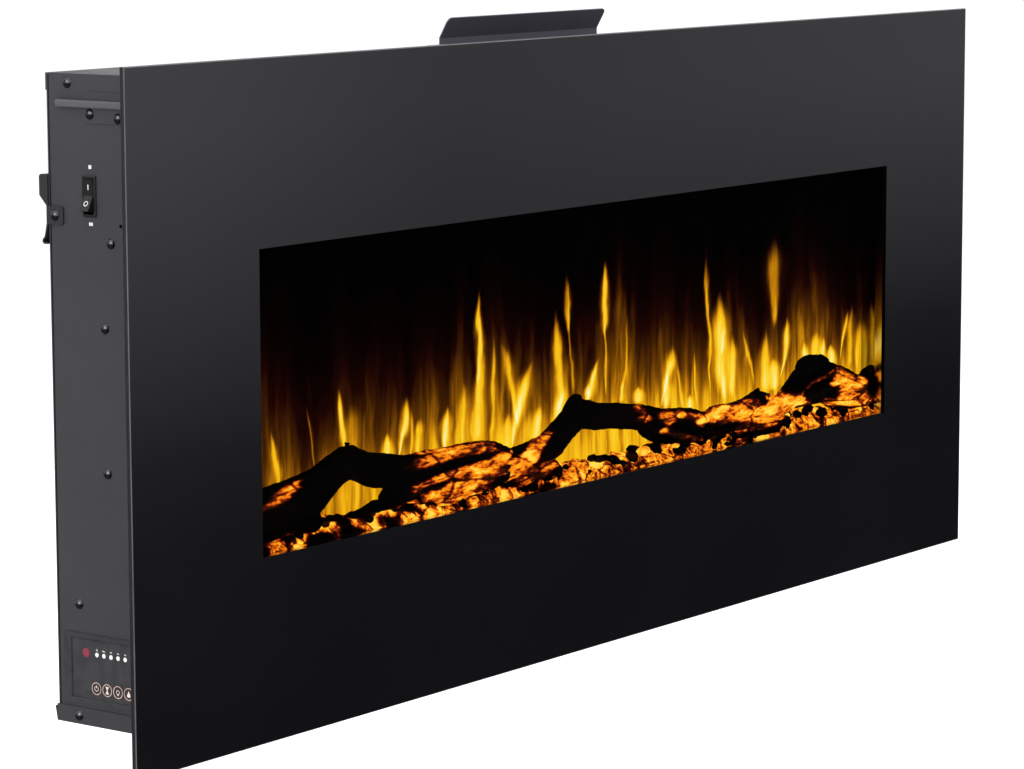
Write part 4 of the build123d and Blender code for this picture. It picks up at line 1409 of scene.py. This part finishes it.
LEFT_LOG = Log(
    "barked_log_left",
    "log_left",
    (
        Limb(
            (
                (-503, 178, 24), (-470, 180, 22), (-430, 184, 23), (-395, 192, 20), (-360, 208, 14),
                (-345, 212, 14), (-320, 203, 14), (-280, 196, 14), (-230, 193, 14), (-180, 193, 14),
                (-140, 190, 13), (-118, 186, 8),
            ),
        ),
        Limb(((-345, 208, 9), (-350, 217, 9), (-352, 224, 5)), 26, 6),
        Limb(
            (
                (-500, 172, 16), (-450, 173, 15), (-415, 173, 14), (-394, 170, 12), (-381, 165, 6),
            ),
            28, 10,
        ),
        Limb(
            (
                (-400, 161, 5), (-370, 160, 4), (-345, 161, 4), (-320, 164, 6), (-300, 167, 8),
                (-282, 164, 7),
            ),
            30, 7,
        ),
        Limb(
            (
                (-300, 168, 8), (-282, 180, 14), (-240, 178, 16), (-200, 175, 15), (-160, 175, 13),
                (-128, 177, 9), (-112, 180, 5),
            ),
            23, 10,
        ),
    ),
    (
        Glow(-440, 197, 36, 6, 1.15, 0.32),
        Glow(-425, 162, 30, 4, 0.7),
        Glow(-222, 203, 60, 7, 1.25, 0.06),
        Glow(-160, 200, 28, 6, 0.8),
        Glow(-195, 193, 46, 3, -0.5, 0.05),
        Glow(-215, 186, 50, 4.5, 1.15, 0.10),
        Glow(-150, 188, 34, 6, 1.2, 0.12),
        Glow(-180, 176, 62, 8, 1.15, 0.08),
        Glow(-240, 172, 20, 5, 0.5),
        Glow(-215, 165, 70, 5, 0.8),
        Glow(-268, 178, 12, 12, 0.45),
        Glow(-318, 163, 30, 3, 0.5),
        Glow(-288, 166, 10, 6, 0.6),
    ),
    3,
)

CENTRE_LOG = Log(
    "barked_log_centre",
    "log_centre",
    (
        Limb(
            (
                (-240, 163, 8), (-200, 168, 12), (-160, 173, 14), (-120, 178, 15), (-85, 183, 15),
                (-55, 192, 15), (-35, 203, 14), (-12, 212, 13), (15, 208, 13), (50, 203, 12),
                (90, 196, 12), (130, 188, 12), (170, 183, 11), (205, 180, 7),
            ),
            25, 10.5,
        ),
        Limb(((-32, 206, 9), (-22, 217, 9), (-14, 226, 6), (-9, 229, 3)), 26, 6),
        Limb(((-125, 165, 8), (-92, 168, 11), (-66, 169, 11), (-44, 163, 7)), 24, 9),
        Limb(((84, 190, 8), (104, 184, 11), (140, 175, 11), (175, 168, 10), (207, 161, 5)), 24, 9.5),
    ),
    (
        Glow(-170, 172, 75, 10, 1.35, 0.12),
        Glow(-205, 163, 60, 6, 0.95, 0.1),
        Glow(-100, 186, 32, 8, 1.35, 0.5),
        Glow(-130, 177, 30, 8, 0.9, 0.3),
        Glow(-72, 198, 16, 5, 0.6, 0.6),
        Glow(-88, 168, 40, 9, 0.95, 0.2),
        Glow(-58, 178, 20, 8, 0.45, 0.5),
        Glow(-22, 195, 28, 12, 0.36),
        Glow(78, 200, 14, 12, 0.5),
        Glow(60, 209, 60, 5, 0.4),
        Glow(118, 194, 16, 10, 0.95),
        Glow(142, 195, 7, 4, 1.3),
        Glow(165, 189, 40, 6, 0.95, -0.12),
        Glow(192, 181, 26, 6, 1.15),
        Glow(125, 178, 36, 4, 0.8, -0.2),
        Glow(165, 167, 34, 5, 0.7, -0.15),
        Glow(60, 197, 60, 4, 0.35),
    ),
    5,
)

RIGHT_LOG = Log(
    "barked_log_right",
    "log_right",
    (
        Limb(
            (
                (180, 176, 9), (205, 180, 12), (235, 181, 12), (265, 182, 12), (285, 184, 14),
                (310, 180, 12), (335, 182, 11), (355, 192, 12), (375, 204, 12), (400, 205, 12),
                (420, 200, 12), (445, 191, 12), (475, 182, 11), (503, 184, 12),
            ),
            25, 10.5,
        ),
        Limb(((278, 190, 5), (284, 197, 4), (288, 201, 2)), 25, 4),
        Limb(((200, 164, 6), (235, 168, 10), (270, 166, 10), (310, 164, 10), (345, 160, 6)), 22, 9),
        Limb(((360, 210, 6), (375, 213, 9), (400, 212, 9), (414, 207, 6)), 25, 10),
        Limb(((400, 178, 6), (420, 180, 11), (450, 172, 12), (480, 170, 12), (503, 170, 12)), 23, 10),
        Limb(((482, 186, 8), (492, 190, 10), (503, 190, 10)), 22, 9),
        Limb(((332, 180, 8), (350, 183, 11), (380, 183, 10), (410, 182, 10), (430, 178, 8)), 27, 9),
    ),
    (
        Glow(245, 184, 66, 11, 1.15),
        Glow(228, 172, 30, 4, -0.45),
        Glow(205, 188, 22, 6, 0.8),
        Glow(270, 169, 85, 9, 0.85),
        Glow(284, 196, 5, 9, -1.6),
        Glow(318, 184, 30, 11, 1.3),
        Glow(350, 180, 22, 9, 0.9),
        Glow(385, 198, 30, 6, 1.0, 0.25),
        Glow(385, 186, 30, 4, -0.5),
        Glow(388, 213, 26, 8, -0.7),
        Glow(385, 176, 40, 4, 0.6),
        Glow(428, 196, 17, 13, 1.4),
        Glow(455, 184, 30, 12, 1.35),
        Glow(432, 171, 34, 7, 1.1),
        Glow(490, 188, 9, 14, -1.5),
        Glow(504, 180, 8, 14, 1.2),
        Glow(472, 168, 26, 7, 1.15),
    ),
    9,
)


@dataclass
class EmberBed:
    """The glowing bed under the logs: a lumpy slope with loose coals on it. Sizes in mm."""

    frame: Frame
    half_length: float = 504.0
    front: float = 14.6  # behind the front face
    back: float = 38.0
    low: float = 141.0
    lip: float = 153.0  # height at the front
    high: float = 166.0  # height at the back
    ramp: float = 9.0  # height gained over the steep front share
    ramp_share: float = 0.36
    step: float = 2.4
    across: int = 12  # strips from front to back
    coals: int = 190
    broken_end: float = -190.0  # x where the evenly lit part starts to take over
    blend_length: float = 160.0
    seed: int = 41
    heat_layer: object = field(default=None, init=False)
    char_layer: object = field(default=None, init=False)

    def build(self) -> bpy.types.Object:
        """Makes the slope and its coals as one moulding.

        Returns:
            The bed.
        """
        dice = random.Random(self.seed)
        shape = bmesh.new()
        self.heat_layer = shape.verts.layers.float.new("ember_heat")
        self.char_layer = shape.verts.layers.float.new("ember_char")
        self.slope(shape)
        for _ in range(self.coals):
            self.coal(shape, dice)
        mesh = to_mesh(shape, "ember_coals", smooth=True)
        bed = new_piece("ember_coals", mesh, (COAL_RESIN,), Body.CASE)
        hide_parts("ember_bed")
        return bed

    def depth(self, share: float) -> float:
        """Distance behind the front face, share of the way from front to back."""
        return self.front + (self.back - self.front) * share

    def top(self, x: float, share: float) -> float:
        """Height of the slope, share of the way from front to back.

        Args:
            x: place along the front, in mm.
            share: 0 at the front, 1 at the back.

        Returns:
            The height in mm.
        """
        small = noise.noise(Vector((x * 0.07, share * 1.6, 2.0))) * 4.0
        large = noise.noise(Vector((x * 0.02, share, 5.0))) * 3.0
        steep = min(1.0, share / self.ramp_share)
        plain = self.lip + self.ramp * steep + (self.high - self.lip - self.ramp) * share
        return plain + (small + large) * (0.3 + 0.7 * share)

    def slope(self, shape: bmesh.types.BMesh) -> None:
        """Lays the sloping sheet, closed at the front, ends and underside.

        Args:
            shape: the mesh being made.
        """
        count = int(2 * self.half_length / self.step)
        shares = [j / self.across for j in range(self.across + 1)]
        sections = []
        for i in range(count + 1):
            x = -self.half_length + 2 * self.half_length * i / count
            upper = [(self.depth(share), self.top(x, share)) for share in shares]
            section = []
            for setback, height in [(self.front, self.low), *upper, (self.back, self.low)]:
                place = (x * MM, self.frame.setback(setback), self.frame.height(height))
                vertex = shape.verts.new(place)
                vertex[self.heat_layer] = self.bed_heat(x, height)
                section.append(vertex)
            sections.append(section)
        size = len(sections[0])
        for first, second in zip(sections, sections[1:]):
            for j in range(size):
                k = (j + 1) % size
                shape.faces.new((first[j], second[j], second[k], first[k]))
        shape.faces.new(sections[0])
        shape.faces.new(list(reversed(sections[-1])))

    def bed_heat(self, x: float, height: float) -> float:
        """The bed glows in broken bits at the left and evenly from the middle to the right.

        Args:
            x: place along the front, in mm.
            height: in mm.

        Returns:
            The heat, not yet held between 0 and 1.
        """
        even = min(1.0, max(0.0, (x - self.broken_end) / self.blend_length))
        broken = noise.noise(Vector((x * 0.055, height * 0.10, 9.0)))
        return (0.5 + 1.75 * broken) * (1.0 - even) + (0.8 + 1.0 * broken) * even

    def coal(self, shape: bmesh.types.BMesh, dice: random.Random) -> None:
        """Drops one broken lump of coal on the slope, smaller at the left, larger mid-right.

        Args:
            shape: the mesh being made.
            dice: the seeded chance.
        """
        x = dice.uniform(-self.half_length + 10, self.half_length - 10)
        share = dice.uniform(0.05, 0.85)
        growth = (0.85 if x < self.broken_end else 1.0) * (1.35 if 60 < x < 240 else 1.0)
        radius = dice.uniform(3.0, 6.0) * growth
        centre = Vector((x, self.depth(share), self.top(x, share) + radius * 0.25))
        dark = dice.random() < (0.62 if x < -60 else 0.5)
        turn = dice.uniform(0, 50)
        stretch = Vector((dice.uniform(0.8, 1.5), dice.uniform(0.8, 1.1), dice.uniform(0.7, 1.05)))
        made = bmesh.ops.create_icosphere(shape, subdivisions=3, radius=1.0)["verts"]
        for vertex in made:
            way = vertex.co.normalized()
            facets = noise.noise(way * 1.4 + Vector((turn, 0, 0)))
            chips = noise.noise(way * 4.5 + Vector((0, turn, 0)))
            size = radius * (1.0 + 0.28 * facets + 0.10 * chips)
            spot = centre + Vector([part * grow for part, grow in zip(way, stretch)]) * size
            spot.y = min(max(spot.y, self.front), self.back)
            vertex.co = (spot.x * MM, self.frame.setback(spot.y), self.frame.height(spot.z))
            glow = self.bed_heat(spot.x, spot.z)
            shaded = max(0.0, glow - 0.75 - 0.2 * way.z)
            vertex[self.heat_layer] = shaded if dark else min(1.0, glow + 0.1)
            vertex[self.char_layer] = 0.75 if dark else 0.0


# ------------------------------------------------------------------ controls


@dataclass
class SideMark:
    """A thin print on the left side. u runs towards the glass, v runs up, in mm."""

    x: float
    centre_y: float
    centre_z: float

    def spot(self, u: float, v: float) -> Vector:
        """A point of the print, in the row frame."""
        return Vector((self.x, self.centre_y - u * MM, self.centre_z + v * MM))

    def outlines(self, shapes: Iterable[Outline]) -> list[list[Vector]]:
        """Places flat outlines on the side."""
        return [[self.spot(u, v) for u, v in shape] for shape in shapes]


class Icon(Enum):
    """The plain pictures on the keys."""

    POWER = "key_power"
    TIMER = "key_timer"
    LIGHT = "key_light"
    FLAME = "key_flame"
    HEAT = "key_heat"

    def shapes(self) -> list[Outline]:
        """The picture's outlines, in mm about the key's centre.

        Returns:
            Closed outlines.
        """
        if self is Icon.POWER:
            return band(2.0, 0.5, 125, 415) + [bar(-0.28, 0.5, 0.28, 2.9)]
        if self is Icon.TIMER:
            return [
                [(-1.6, 2.6), (1.6, 2.6), (0.25, 0.0), (-0.25, 0.0)],
                [(-0.25, 0.0), (0.25, 0.0), (1.6, -2.6), (-1.6, -2.6)],
                bar(-1.9, 2.6, 1.9, 3.0),
                bar(-1.9, -3.0, 1.9, -2.6),
            ]
        if self is Icon.LIGHT:
            cap, tip = bar(-0.8, -2.4, 0.8, -1.3), bar(-0.5, -2.95, 0.5, -2.6)
            return band(1.6, 0.45, -50, 230) + [cap, tip]
        if self is Icon.FLAME:
            right = [(-1.9, -1.4), (-1.2, -2.6), (1.2, -2.6), (1.9, -1.4), (1.3, 0.4), (0.5, 1.2)]
            left = [(0.1, 3.0), (-0.6, 1.4), (-0.9, 0.3), (-1.4, 0.5)]
            return [right + left]
        half = 0.22  # half the width of a wavy line
        waves: list[Outline] = []
        for shift in (-1.5, 0.0, 1.5):
            line = [(shift + 0.35 * math.sin(step * 0.9), -2.2 + step * 0.63) for step in range(8)]
            for (a, b), (c, d) in zip(line, line[1:]):
                waves.append([(a - half, b), (a + half, b), (c + half, d), (c - half, d)])
        return waves


PRINT_THICK = 0.05 * MM
OUT_OF_SIDE = Vector((-1.0, 0.0, 0.0))


def side_print(
    name: str, outlines: list[list[Vector]], finish: Finish, body: Body
) -> None:
    """Makes a print that faces out of the left side.

    Args:
        name: its name.
        outlines: closed outlines, in the row frame.
        finish: its finish.
        body: the body it rides on.
    """
    new_piece(name, flat_plates(name, outlines, OUT_OF_SIDE, PRINT_THICK), (finish,), body)


@dataclass
class ControlPanel:
    """The touch panel low on the left side: keys, lamps and the remote's eye. Sizes in mm."""

    ring_width: float = 0.75
    ring_inset: float = 0.15  # of the ring from the key's edge
    lamp_inset: float = 1.9  # of the end lamps' middles from the ends of the row
    mark_rise: float = 1.9  # of the marks above the lamps

    def dress(self) -> None:
        """Gives the CAD pieces their plastics."""
        paint("control_bezel", PANEL_BLACK)
        paint("control_membrane", MEMBRANE)
        paint("indicator_lenses", WHITE_LENS)
        paint("sensor_lens", RED_LENS)
        paint("control_board", GREEN_BOARD)

    def build(self) -> None:
        """Prints the rings, pictures and lamp marks."""
        for icon in Icon:
            paint(icon.value, KEY_BLACK)
            low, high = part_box(icon.value)
            spot = SideMark(low.x - PRINT_LIFT, (low.y + high.y) / 2, (low.z + high.z) / 2)
            body = Body(icon.value.split("_")[1] + "_key")
            radius = (high.z - low.z) / 2 / MM - self.ring_width / 2 - self.ring_inset
            ring = band(radius, self.ring_width, 0, 360, 49)
            side_print(icon.value + "_ring", spot.outlines(ring), COPPER_PRINT, body)
            picture = spot.outlines(icon.shapes())
            side_print(icon.value + "_icon", picture, ICON_PRINT, body)
        self.lamp_marks()

    def lamp_marks(self) -> None:
        """Prints a small mark above each lamp."""
        low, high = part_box("indicator_lenses")
        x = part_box("control_membrane")[0].x - PRINT_LIFT
        marks = (
            band(0.55, 0.3, 0, 360, 13) + [bar(-0.2, 0.5, 0.2, 1.2)],
            [bar(-1.5, -0.5, -0.9, 0.5), bar(-0.5, -0.5, 0.1, 0.5), bar(0.5, -0.5, 1.3, 0.1)],
            [bar(-1.1, -0.4, -0.3, 0.4), bar(0.1, -0.4, 0.9, 0.4)],
            [bar(-1.1, -0.4, -0.2, 0.4), bar(0.2, -0.4, 1.1, 0.2)],
            [bar(-1.2, -0.3, -0.5, 0.4), bar(-0.2, -0.4, 1.1, 0.3)],
        )
        gap = (high.y - low.y - 2 * self.lamp_inset * MM) / (len(marks) - 1)
        outlines: list[list[Vector]] = []
        for i, shapes in enumerate(marks):
            centre_y = high.y - self.lamp_inset * MM - gap * i
            outlines += SideMark(x, centre_y, high.z + self.mark_rise * MM).outlines(shapes)
        side_print("lamp_marks", outlines, WHITE_PRINT, Body.CASE)


@dataclass
class PowerSwitch:
    """The rocker switch high on the left side, with its two marks. Sizes in mm."""

    pivot_x: float = -594.0
    on_face: tuple[Point, Point] = ((-2.73, 0.61), (-3.02, 13.58))  # (x, z) from the pivot
    off_face: tuple[Point, Point] = ((-8.48, -11.03), (-2.73, 0.61))
    mark_lift: float = 0.03
    legend_setback: float = 0.7
    legend_above: float = 23.3
    legend_below: float = -21.9

    def build(self, frame: Frame) -> None:
        """Dresses the switch and prints its marks.

        Args:
            frame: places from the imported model.
        """
        paint("switch_housing", GLOSS_BLACK)
        paint("switch_rocker", GLOSS_BLACK)
        low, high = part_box("switch_housing")
        centre = (low + high) / 2
        pivot = Vector((self.pivot_x * MM, centre.y, centre.z))
        self.mark("switch_on_mark", pivot, self.on_face, 0.52, [bar(-0.4, -2.1, 0.4, 2.1)])
        self.mark("switch_off_mark", pivot, self.off_face, 0.48, band(1.9, 0.7, 0, 360, 33))
        x, y = frame.side_x - PRINT_LIFT, centre.y - self.legend_setback * MM
        above = SideMark(x, y, centre.z + self.legend_above * MM)
        below = SideMark(x, y, centre.z + self.legend_below * MM)
        legends = above.outlines([bar(-1.5, -1.5, 1.5, 1.5)])
        legends += below.outlines([bar(-1.9, -1.4, -0.2, 1.2), bar(0.3, -1.4, 2.0, 1.2)])
        side_print("switch_legends", legends, WHITE_PRINT, Body.CASE)

    def mark(
        self, name: str, pivot: Vector, face: tuple[Point, Point], share: float, shapes: list[Outline]
    ) -> None:
        """Prints one mark on a sloping face of the rocker.

        Args:
            name: the mark's name.
            pivot: the rocker's pivot.
            face: the face's lower and upper end, (x, z) from the pivot.
            share: how far up the face the mark sits.
            shapes: its outlines, in mm.
        """
        bottom, top = (pivot + Vector((x, 0.0, z)) * MM for x, z in face)
        up = (top - bottom).normalized()
        out = Vector((-up.z, 0.0, up.x))
        middle = bottom.lerp(top, share) + out * self.mark_lift * MM
        outlines = [
            [middle + up * (v * MM) - Vector((0.0, u * MM, 0.0)) for u, v in shape] for shape in shapes
        ]
        mesh = flat_plates(name, outlines, out, PRINT_THICK)
        new_piece(name, mesh, (WHITE_PRINT,), Body.ROCKER)


# ------------------------------------------------------------------ case, works and firebox


@dataclass
class SteelBody:
    """The folded steel case with its hooks, arms, deflector and screws."""

    coats: dict[str, Finish] = field(
        default_factory=lambda: {
            "glass_backing_frame": FRAME_COAT,
            "hanger_arm_left": ARM_HIGHLIGHT_COAT,
            "hanger_arm_right": ARM_HIGHLIGHT_COAT,
            "side_panel_left": CHARCOAL,
            "side_panel_right": CHARCOAL,
            "top_cover": CHARCOAL,
            "top_cover_strips": CHARCOAL,
            "bottom_tray": CHARCOAL,
            "back_panel": CHARCOAL,
            "rear_hook_left": BLACK_STEEL,
            "rear_hook_right": BLACK_STEEL,
            "wall_bracket": BLACK_STEEL,
            "heat_deflector": DEFLECTOR_GREY,
            "side_screws_left": BLACK_OXIDE,
            "side_screws_right": BLACK_OXIDE,
            "hook_screws": BLACK_OXIDE,
            "back_screws": BLACK_OXIDE,
            "deflector_screws": BLACK_OXIDE,
        }
    )

    def dress(self) -> None:
        """Coats every piece of the case."""
        for node, finish in self.coats.items():
            paint(node, finish)


@dataclass
class Works:
    """What is inside the case: flame rotor, lamps, blower, heater, boards and leads."""

    finishes: dict[str, Finish] = field(
        default_factory=lambda: {
            "rotor_shaft": BRIGHT,
            "rotor_fins": FOIL,
            "rotor_bracket_left": ZINC,
            "rotor_bracket_right": ZINC,
            "rotor_bush": DARK_PLASTIC,
            "rotor_motor": ZINC,
            "flame_lamp_board": GREEN_BOARD,
            "flame_lamp_chips": LAMP_CHIP,
            "ember_lamp_board": GREEN_BOARD,
            "ember_lamp_chips": LAMP_CHIP,
            "heater_duct": ZINC,
            "heating_element": ROD_STEEL,
            "element_frame": MICA,
            "blower_rotor": ALLOY,
            "blower_bearing": DARK_PLASTIC,
            "blower_motor": ZINC,
            "thermal_cutout": DARK_PLASTIC,
            "power_board": GREEN_BOARD,
            "board_parts": DARK_PLASTIC,
            "wiring_loom": SLEEVE,
            "cord_gland": DARK_PLASTIC,
        }
    )

    def dress(self) -> None:
        """Finishes every hidden piece."""
        for node, finish in self.finishes.items():
            paint(node, finish)


@dataclass
class Firebox:
    """The black box behind the window, its flame screen, logs and embers."""

    frame: Frame
    logs: tuple[Log, ...] = (LEFT_LOG, CENTRE_LOG, RIGHT_LOG)

    def build(self) -> None:
        """Dresses the box and makes the fuel."""
        paint("firebox_surround", LINER_BLACK)
        paint("flame_reflector", FOIL)
        flames = FlamePicture("flame_picture", self.frame.glass_low.z)
        paint("flame_screen", flames)
        for log in self.logs:
            log.build(self.frame)
        EmberBed(self.frame).build()
        for finish in (flames, LOG_RESIN, COAL_RESIN):
            finish.build().cycles.emission_sampling = "NONE"


# ------------------------------------------------------------------ studio


@dataclass(frozen=True)
class Softbox:
    """A square soft light, in metres and watts."""

    name: str
    place: Place
    aim: Place
    side: float
    power: float
    mirrored: bool = False  # whether glossy faces show it

    def hang(self) -> None:
        """Puts the light in the scene, turned to its aim and hidden from the camera."""
        lamp = bpy.data.lights.new(self.name, "AREA")
        lamp.size = self.side
        lamp.energy = self.power
        light = bpy.data.objects.new(self.name, lamp)
        light.location = self.place
        way = Vector(self.aim) - Vector(self.place)
        light.rotation_euler = way.to_track_quat("-Z", "Y").to_euler()
        light.visible_camera = False
        light.visible_glossy = self.mirrored
        bpy.context.scene.collection.objects.link(light)


CARD_STOPS: list[tuple[float, float]] = [
    (0.0, 0.05),
    (0.285, 0.05),
    (0.34, 0.055),
    (0.4, 0.075),
    (0.46, 0.16),
    (0.53, 0.42),
    (0.63, 0.75),
    (0.70, 0.95),
    (0.76, 1.0),
]

SKY_STOPS: list[tuple[float, Colour]] = [
    (0.0, (0.10, 0.10, 0.105)),
    (0.42, (0.16, 0.16, 0.17)),
    (0.5, (0.55, 0.55, 0.57)),
    (0.6, (0.82, 0.82, 0.84)),
    (1.0, (0.95, 0.95, 0.95)),
]


def stage_piece(name: str, mesh: bpy.types.Mesh, material: bpy.types.Material) -> bpy.types.Object:
    """Adds a piece of the studio, which isn't part of the fireplace and gives no sampled light.

    Args:
        name: its name.
        mesh: its mesh.
        material: its material.

    Returns:
        The new object.
    """
    material.cycles.emission_sampling = "NONE"
    mesh.materials.append(material)
    piece = bpy.data.objects.new(name, mesh)
    bpy.context.scene.collection.objects.link(piece)
    piece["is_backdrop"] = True
    return piece


@dataclass
class Studio:
    """Floor, soft lights, mirrored card and camera. Metres and degrees."""

    floor_gap: float = 0.45
    floor_half: float = 70.0
    floor_lift: float = 0.26  # light of its own that keeps the floor pale
    card_y: float = -1.77
    card_low: Point = (-7.0, -3.0)  # (x, z)
    card_high: Point = (9.0, 2.5)
    card_strength: float = 0.92
    card_dim: float = 0.47  # share of its light that the card loses
    seen_sky: Colour = (0.97, 0.97, 0.97)
    lights: tuple[Softbox, ...] = (
        Softbox("side_softbox", (-3.4, -0.4, 1.1), (-0.6, -0.05, -0.1), 2.2, 34.0, True),
        Softbox("top_softbox", (-0.6, -1.2, 3.2), (0.0, 0.0, 0.0), 3.0, 60.0),
        Softbox("floor_softbox", (1.5, 3.2, 3.0), (0.8, 2.0, -0.9), 3.5, 120.0),
    )
    camera_place: Place = (-2.7152, -2.0623, 0.2962)
    azimuth: float = 53.114
    drop: float = 8.198
    roll: float = -0.188
    lens: float = 129.46  # mm, on a sensor 36 mm wide

    def build(self) -> None:
        """Sets up the room."""
        self.floor()
        self.sky()
        self.card()
        for light in self.lights:
            light.hang()
        self.camera()
        view = bpy.context.scene.view_settings
        view.view_transform = "Standard"
        view.look = "None"

    def floor(self) -> None:
        """Lays a pale floor under the fireplace, clear from below so that the underside shows."""
        shape = bmesh.new()
        bmesh.ops.create_grid(shape, x_segments=8, y_segments=8, size=self.floor_half)
        material, graph, shader = blank_material("pale_floor")
        cloud = graph.noise(graph.place(), 3.0)
        graph.fill(shader, {
            "Base Color": graph.tones(cloud, (0.86, 0.86, 0.86), (0.88, 0.88, 0.88)),
            "Roughness": 0.9,
            "Emission Color": (1.0, 1.0, 1.0),
            "Emission Strength": self.floor_lift,
        })
        mix = graph.add("MixShader")
        graph.put(mix.inputs[0], graph.add("NewGeometry").outputs["Backfacing"])
        graph.put(mix.inputs[1], shader.outputs["BSDF"])
        graph.put(mix.inputs[2], graph.add("BsdfTransparent").outputs["BSDF"])
        surface = material.node_tree.nodes["Material Output"].inputs["Surface"]
        graph.put(surface, mix.outputs["Shader"])
        floor = stage_piece("pale_floor", to_mesh(shape, "pale_floor"), material)
        floor.location.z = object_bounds()[0][2] - self.floor_gap
        floor.visible_glossy = False

    def sky(self) -> None:
        """A soft room that is pale above and darkens quickly below eye level."""
        world = bpy.data.worlds.new("soft_room")
        world.use_nodes = True
        bpy.context.scene.world = world
        graph = Graph(world.node_tree)
        _, _, rise = graph.parts(graph.add("TexCoord").outputs["Generated"])
        room = graph.ramp(graph.math("MULTIPLY_ADD", rise, 0.5, 0.5), SKY_STOPS)
        seen = graph.add("LightPath").outputs["Is Camera Ray"]
        background = world.node_tree.nodes["Background"]
        graph.put(background.inputs["Color"], graph.blend(seen, room, self.seen_sky))
        graph.put(background.inputs["Strength"], 1.0)

    def card(self) -> None:
        """Stands a graded card before the glass, which only mirrors see: pale above, dark below."""
        (left, bottom), (right, top) = self.card_low, self.card_high
        around = ((left, bottom), (right, bottom), (right, top), (left, top))
        shape = bmesh.new()
        shape.faces.new([shape.verts.new((x, self.card_y, z)) for x, z in around])
        material, graph, shader = blank_material("graded_card")
        across, _, height = graph.parts(graph.place())
        rise = graph.math("MULTIPLY_ADD", height, 0.5, 0.75, clamp=True)
        grade = graph.ramp(rise, [(at, (level, level, level * 1.06)) for at, level in CARD_STOPS])
        dimmed = graph.blend(self.card_dim, grade, (0.0, 0.0, 0.0))
        graph.fill(shader, {
            "Emission Color": graph.blend(graph.smooth(across, 0.9, 2.0), grade, dimmed),
            "Emission Strength": self.card_strength,
            "Base Color": (0.0, 0.0, 0.0),
            "Specular IOR Level": 0.0,
        })
        card = stage_piece("graded_card", to_mesh(shape, "graded_card"), material)
        for kind in ("camera", "diffuse", "transmission", "volume_scatter", "shadow"):
            setattr(card, "visible_" + kind, False)

    def camera(self) -> None:
        """Places the camera."""
        azimuth, drop, roll = (math.radians(a) for a in (self.azimuth, self.drop, self.roll))
        level = math.cos(drop)
        ahead = Vector((math.sin(azimuth) * level, math.cos(azimuth) * level, -math.sin(drop)))
        right = ahead.cross(Vector((0, 0, 1))).normalized()
        up = right.cross(ahead)
        turned_right = right * math.cos(roll) + up * math.sin(roll)
        turned_up = up * math.cos(roll) - right * math.sin(roll)
        view = bpy.data.cameras.new("viewpoint")
        view.lens = self.lens
        view.sensor_width = 36.0
        eye = bpy.data.objects.new("viewpoint", view)
        axes = Matrix((turned_right, turned_up, -ahead)).transposed().to_4x4()
        eye.matrix_world = Matrix.Translation(self.camera_place) @ axes
        bpy.context.scene.collection.objects.link(eye)
        bpy.context.scene.camera = eye


def clear_scene() -> None:
    """Takes away whatever the new file holds."""
    for piece in list(bpy.data.objects):
        bpy.data.objects.remove(piece, do_unlink=True)


def main() -> None:
    """Builds every piece in order."""
    logging.basicConfig(level=logging.INFO, format="%(name)s: %(message)s")
    clear_scene()
    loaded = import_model()
    CAD_PIECES.update(loaded["nodes"])
    frame = Frame()
    GlassFront(frame).build()
    SteelBody().dress()
    Works().dress()
    panel = ControlPanel()
    panel.dress()
    panel.build()
    PowerSwitch().build(frame)
    Firebox(frame).build()
    Studio().build()


if __name__ == "__main__":
    main()
